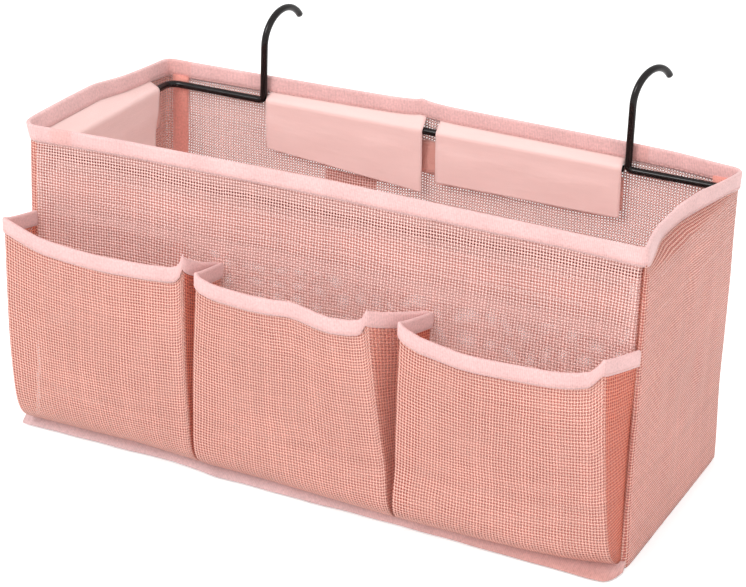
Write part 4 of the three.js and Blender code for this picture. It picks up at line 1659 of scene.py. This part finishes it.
def tube_points(path, radius, sides):
    """A round tube along a path: rings at right angles to the run, whose first spoke is carried
    from ring to ring by taking away what lies along the run."""
    run = unit(np.gradient(path, axis=0))
    spoke = np.cross(run[0], FIRST_SPOKE)
    spokes = []
    for direction in run:
        spoke = spoke - direction * (spoke @ direction)
        spoke = spoke / np.linalg.norm(spoke)
        spokes.append(spoke)
    first = np.array(spokes)
    second = np.cross(run, first)
    turn = np.linspace(0, 2 * np.pi, sides, endpoint=False)
    ring = np.cos(turn)[None, :, None] * first[:, None] + np.sin(turn)[None, :, None] * second[:, None]
    return path[:, None] + radius * ring


def hook_arc(hook):
    """A hook's foot, and its bent end from the top of the straight rise: radius (1 - cos a) outwards
    and rise + radius sin a upwards from the foot, for a from 0 to the wrap."""
    foot = np.array([WIRE_MIDDLE + hook.side * HOOK_SPACING / 2, WIRE_Y, WIRE_HEIGHT])
    outwards = np.array([math.sin(hook.turn), math.cos(hook.turn), 0.0])
    angle = np.linspace(0, HOOK_WRAP, HOOK_STEPS)[:, None]
    arc = foot + outwards * hook.radius * (1 - np.cos(angle))
    return foot, arc + UP * (hook.rise + hook.radius * np.sin(angle))


def wire_path():
    """The wire from the left hook's tip down, round the box and up to the right hook's tip. Its front
    run sags by a squared cosine."""
    x = HALF_LENGTH - CLOTH - (HALF_DEPTH - CLOTH - WIRE_Y)
    (left_foot, left_arc), (right_foot, right_arc) = (hook_arc(hook) for hook in HOOKS)
    ring = [(-x, WIRE_Y), (-x, -WIRE_Y), (x, -WIRE_Y), (x, WIRE_Y)]
    corners = [(*point, WIRE_HEIGHT) for point in ring]
    radius = np.array([FOOT_BEND, *[WIRE_BEND] * len(corners), FOOT_BEND])[:, None]
    turns = [left_arc[0], left_foot, *corners, right_foot, right_arc[0]]
    middle = round_corners(turns, radius, WIRE_BEND_STEPS)
    path = resample(np.vstack([left_arc[:0:-1], middle, right_arc[1:]]), FINE_GRID)
    path[:, 2] -= WIRE_SAG * np.cos(np.pi / 2 * path[:, 0] / x) ** 2 * (path[:, 1] < 0)
    return path


class CADDY_OT_wire(CaddyOperator, bpy.types.Operator):
    """Bend the wire frame and set its crossbar"""

    bl_idname = "caddy.wire"
    bl_label = "Wire frame"

    def execute(self, context):
        reach = HOOK_SPACING / 2 - WIRE_RADIUS - CLEARANCE
        bar = np.array([(WIRE_MIDDLE + share * reach, WIRE_Y, WIRE_HEIGHT) for share in (-1, 0, 1)])
        runs = {"frame_tube": ("frame_wire", wire_path()), "frame_bar": ("frame_crossbar", bar)}
        for name, (node, path) in runs.items():
            points = tube_points(path, WIRE_RADIUS, context.scene.caddy_wire.sides)
            around = ring_distances(points[0])
            mesh = grid_mesh(name, points, distances(path), around, (False, True), capped=True)
            add_piece(mesh, coated_wire, "bag", [node])
        return {"FINISHED"}


# Stage


def seen_rays(tree):
    """1 for rays that end in the picture: the camera's, mirrored ones and ones that pass through."""
    path = tree.nodes.new("ShaderNodeLightPath").outputs
    mirrored = calc(tree, "MAXIMUM", path["Is Camera Ray"], path["Is Glossy Ray"])
    return calc(tree, "MAXIMUM", mirrored, path["Is Transmission Ray"])


def stand(name, data, place, right, up, back):
    """Puts a camera or a lamp at a place, turned so that it looks away from its back."""
    thing = bpy.data.objects.new(name, data)
    turned = Matrix(np.column_stack([right, up, back]).tolist()).to_4x4()
    thing.matrix_world = Matrix.Translation(place) @ turned
    bpy.context.scene.collection.objects.link(thing)
    return thing


class CADDY_OT_stage(CaddyOperator, bpy.types.Operator):
    """Set the camera, the floor and the studio light"""

    bl_idname = "caddy.stage"
    bl_label = "Stage"

    def execute(self, context):
        stage = context.scene.caddy_stage
        context.scene.view_settings.view_transform = "Standard"
        self.add_camera(context, stage)
        self.add_floor(context, stage)
        self.add_lamps(stage)
        self.set_world(context, stage)
        return {"FINISHED"}

    def add_camera(self, context, stage):
        """The camera looks along its turn and drop, and rolls about that line."""
        turn, drop, roll = stage.camera_turn, stage.camera_drop, stage.camera_roll
        level_share = math.cos(drop)
        ahead = np.array([math.sin(turn) * level_share, math.cos(turn) * level_share, -math.sin(drop)])
        level = np.array([math.cos(turn), -math.sin(turn), 0.0])
        above = np.cross(level, ahead)
        right = math.cos(roll) * level + math.sin(roll) * above
        up = math.cos(roll) * above - math.sin(roll) * level
        data = bpy.data.cameras.new("photo_camera")
        data.lens = stage.lens
        data.sensor_width = SENSOR_MILLIMETRES
        data.clip_end = VIEW_REACH
        context.scene.camera = stand("photo_camera", data, stage.camera_place, right, up, -ahead)

    def add_floor(self, context, stage):
        """A wide white floor, which catches the caddy's soft shadow."""
        x = np.linspace(-STAGE_REACH, STAGE_REACH, 3)
        points = np.stack([*np.meshgrid(x, x, indexing="ij"), np.zeros((3, 3))], axis=2)
        mesh = grid_mesh("studio_floor", points, x, x)
        floor = bpy.data.objects.new("studio_floor", mesh)
        context.scene.collection.objects.link(floor)
        material, tree, shader = start_material("studio_floor")
        glow = calc(tree, "MULTIPLY", seen_rays(tree), stage.floor_glow)
        feed_all(
            tree,
            shader,
            base_color=(FLOOR_WHITE, FLOOR_WHITE, FLOOR_WHITE, 1),
            roughness=0.9,
            specular_ior_level=0.1,
            emission_strength=1.0,
            emission_color=grey(tree, glow),
        )
        mesh.materials.append(material)

    def add_lamps(self, stage):
        """A large soft lamp above the front left and a weaker one on the right, both turned towards
        the middle of the caddy."""
        for name, place, share, size in LAMPS:
            data = bpy.data.lights.new(name, "AREA")
            data.energy = stage.key_power * share
            data.size = size
            back = unit(np.array(place) - UP * (RIM_TOP / 2))
            right = unit(np.cross(UP, back))
            stand(name, data, place, right, np.cross(back, right), back)

    def set_world(self, context, stage):
        """An even sky that lights the caddy at its own strength and shows white in the picture."""
        world = bpy.data.worlds.new("studio_sky")
        world.use_nodes = True
        tree = world.node_tree
        difference = calc(tree, "MULTIPLY", seen_rays(tree), 1 - stage.sky_strength)
        strength = calc(tree, "ADD", difference, stage.sky_strength)
        sky = tree.nodes["Background"]
        sky.inputs["Color"].default_value = (1, 1, 1, 1)
        tree.links.new(strength, sky.inputs["Strength"])
        context.scene.world = world
        context.scene.cycles.transparent_max_bounces = CLEAR_BOUNCES


# Panel and start


class CADDY_PT_panel(bpy.types.Panel):
    """The caddy's operators and settings"""

    bl_idname = "CADDY_PT_panel"
    bl_label = "Bedside caddy"
    bl_space_type = "VIEW_3D"
    bl_region_type = "UI"
    bl_category = "Caddy"

    def draw(self, context):
        layout = self.layout
        for operator in OPERATORS:
            layout.operator(operator.bl_idname)
        for group in (context.scene.caddy_cloth, context.scene.caddy_wire, context.scene.caddy_stage):
            for key in group.bl_rna.properties.keys():
                if key not in ("rna_type", "name"):
                    layout.prop(group, key)


OPERATORS = (
    CADDY_OT_stage,
    CADDY_OT_walls,
    CADDY_OT_rim,
    CADDY_OT_pockets,
    CADDY_OT_tapes,
    CADDY_OT_flaps,
    CADDY_OT_wire,
)
CLASSES = (CaddyClothSettings, CaddyWireSettings, CaddyStageSettings, *OPERATORS, CADDY_PT_panel)


def register():
    """Registers the classes and gives every scene its settings."""
    for cls in CLASSES:
        bpy.utils.register_class(cls)
    bpy.types.Scene.caddy_cloth = bpy.props.PointerProperty(type=CaddyClothSettings)
    bpy.types.Scene.caddy_wire = bpy.props.PointerProperty(type=CaddyWireSettings)
    bpy.types.Scene.caddy_stage = bpy.props.PointerProperty(type=CaddyStageSettings)


def unregister():
    """Takes the settings and classes away again."""
    del bpy.types.Scene.caddy_stage
    del bpy.types.Scene.caddy_wire
    del bpy.types.Scene.caddy_cloth
    for cls in reversed(CLASSES):
        bpy.utils.unregister_class(cls)


def main():
    """Makes the whole caddy."""
    register()
    bpy.ops.caddy.stage()
    bpy.ops.caddy.walls()
    bpy.ops.caddy.rim()
    bpy.ops.caddy.pockets()
    bpy.ops.caddy.tapes()
    bpy.ops.caddy.flaps()
    bpy.ops.caddy.wire()


if __name__ == "__main__":
    main()
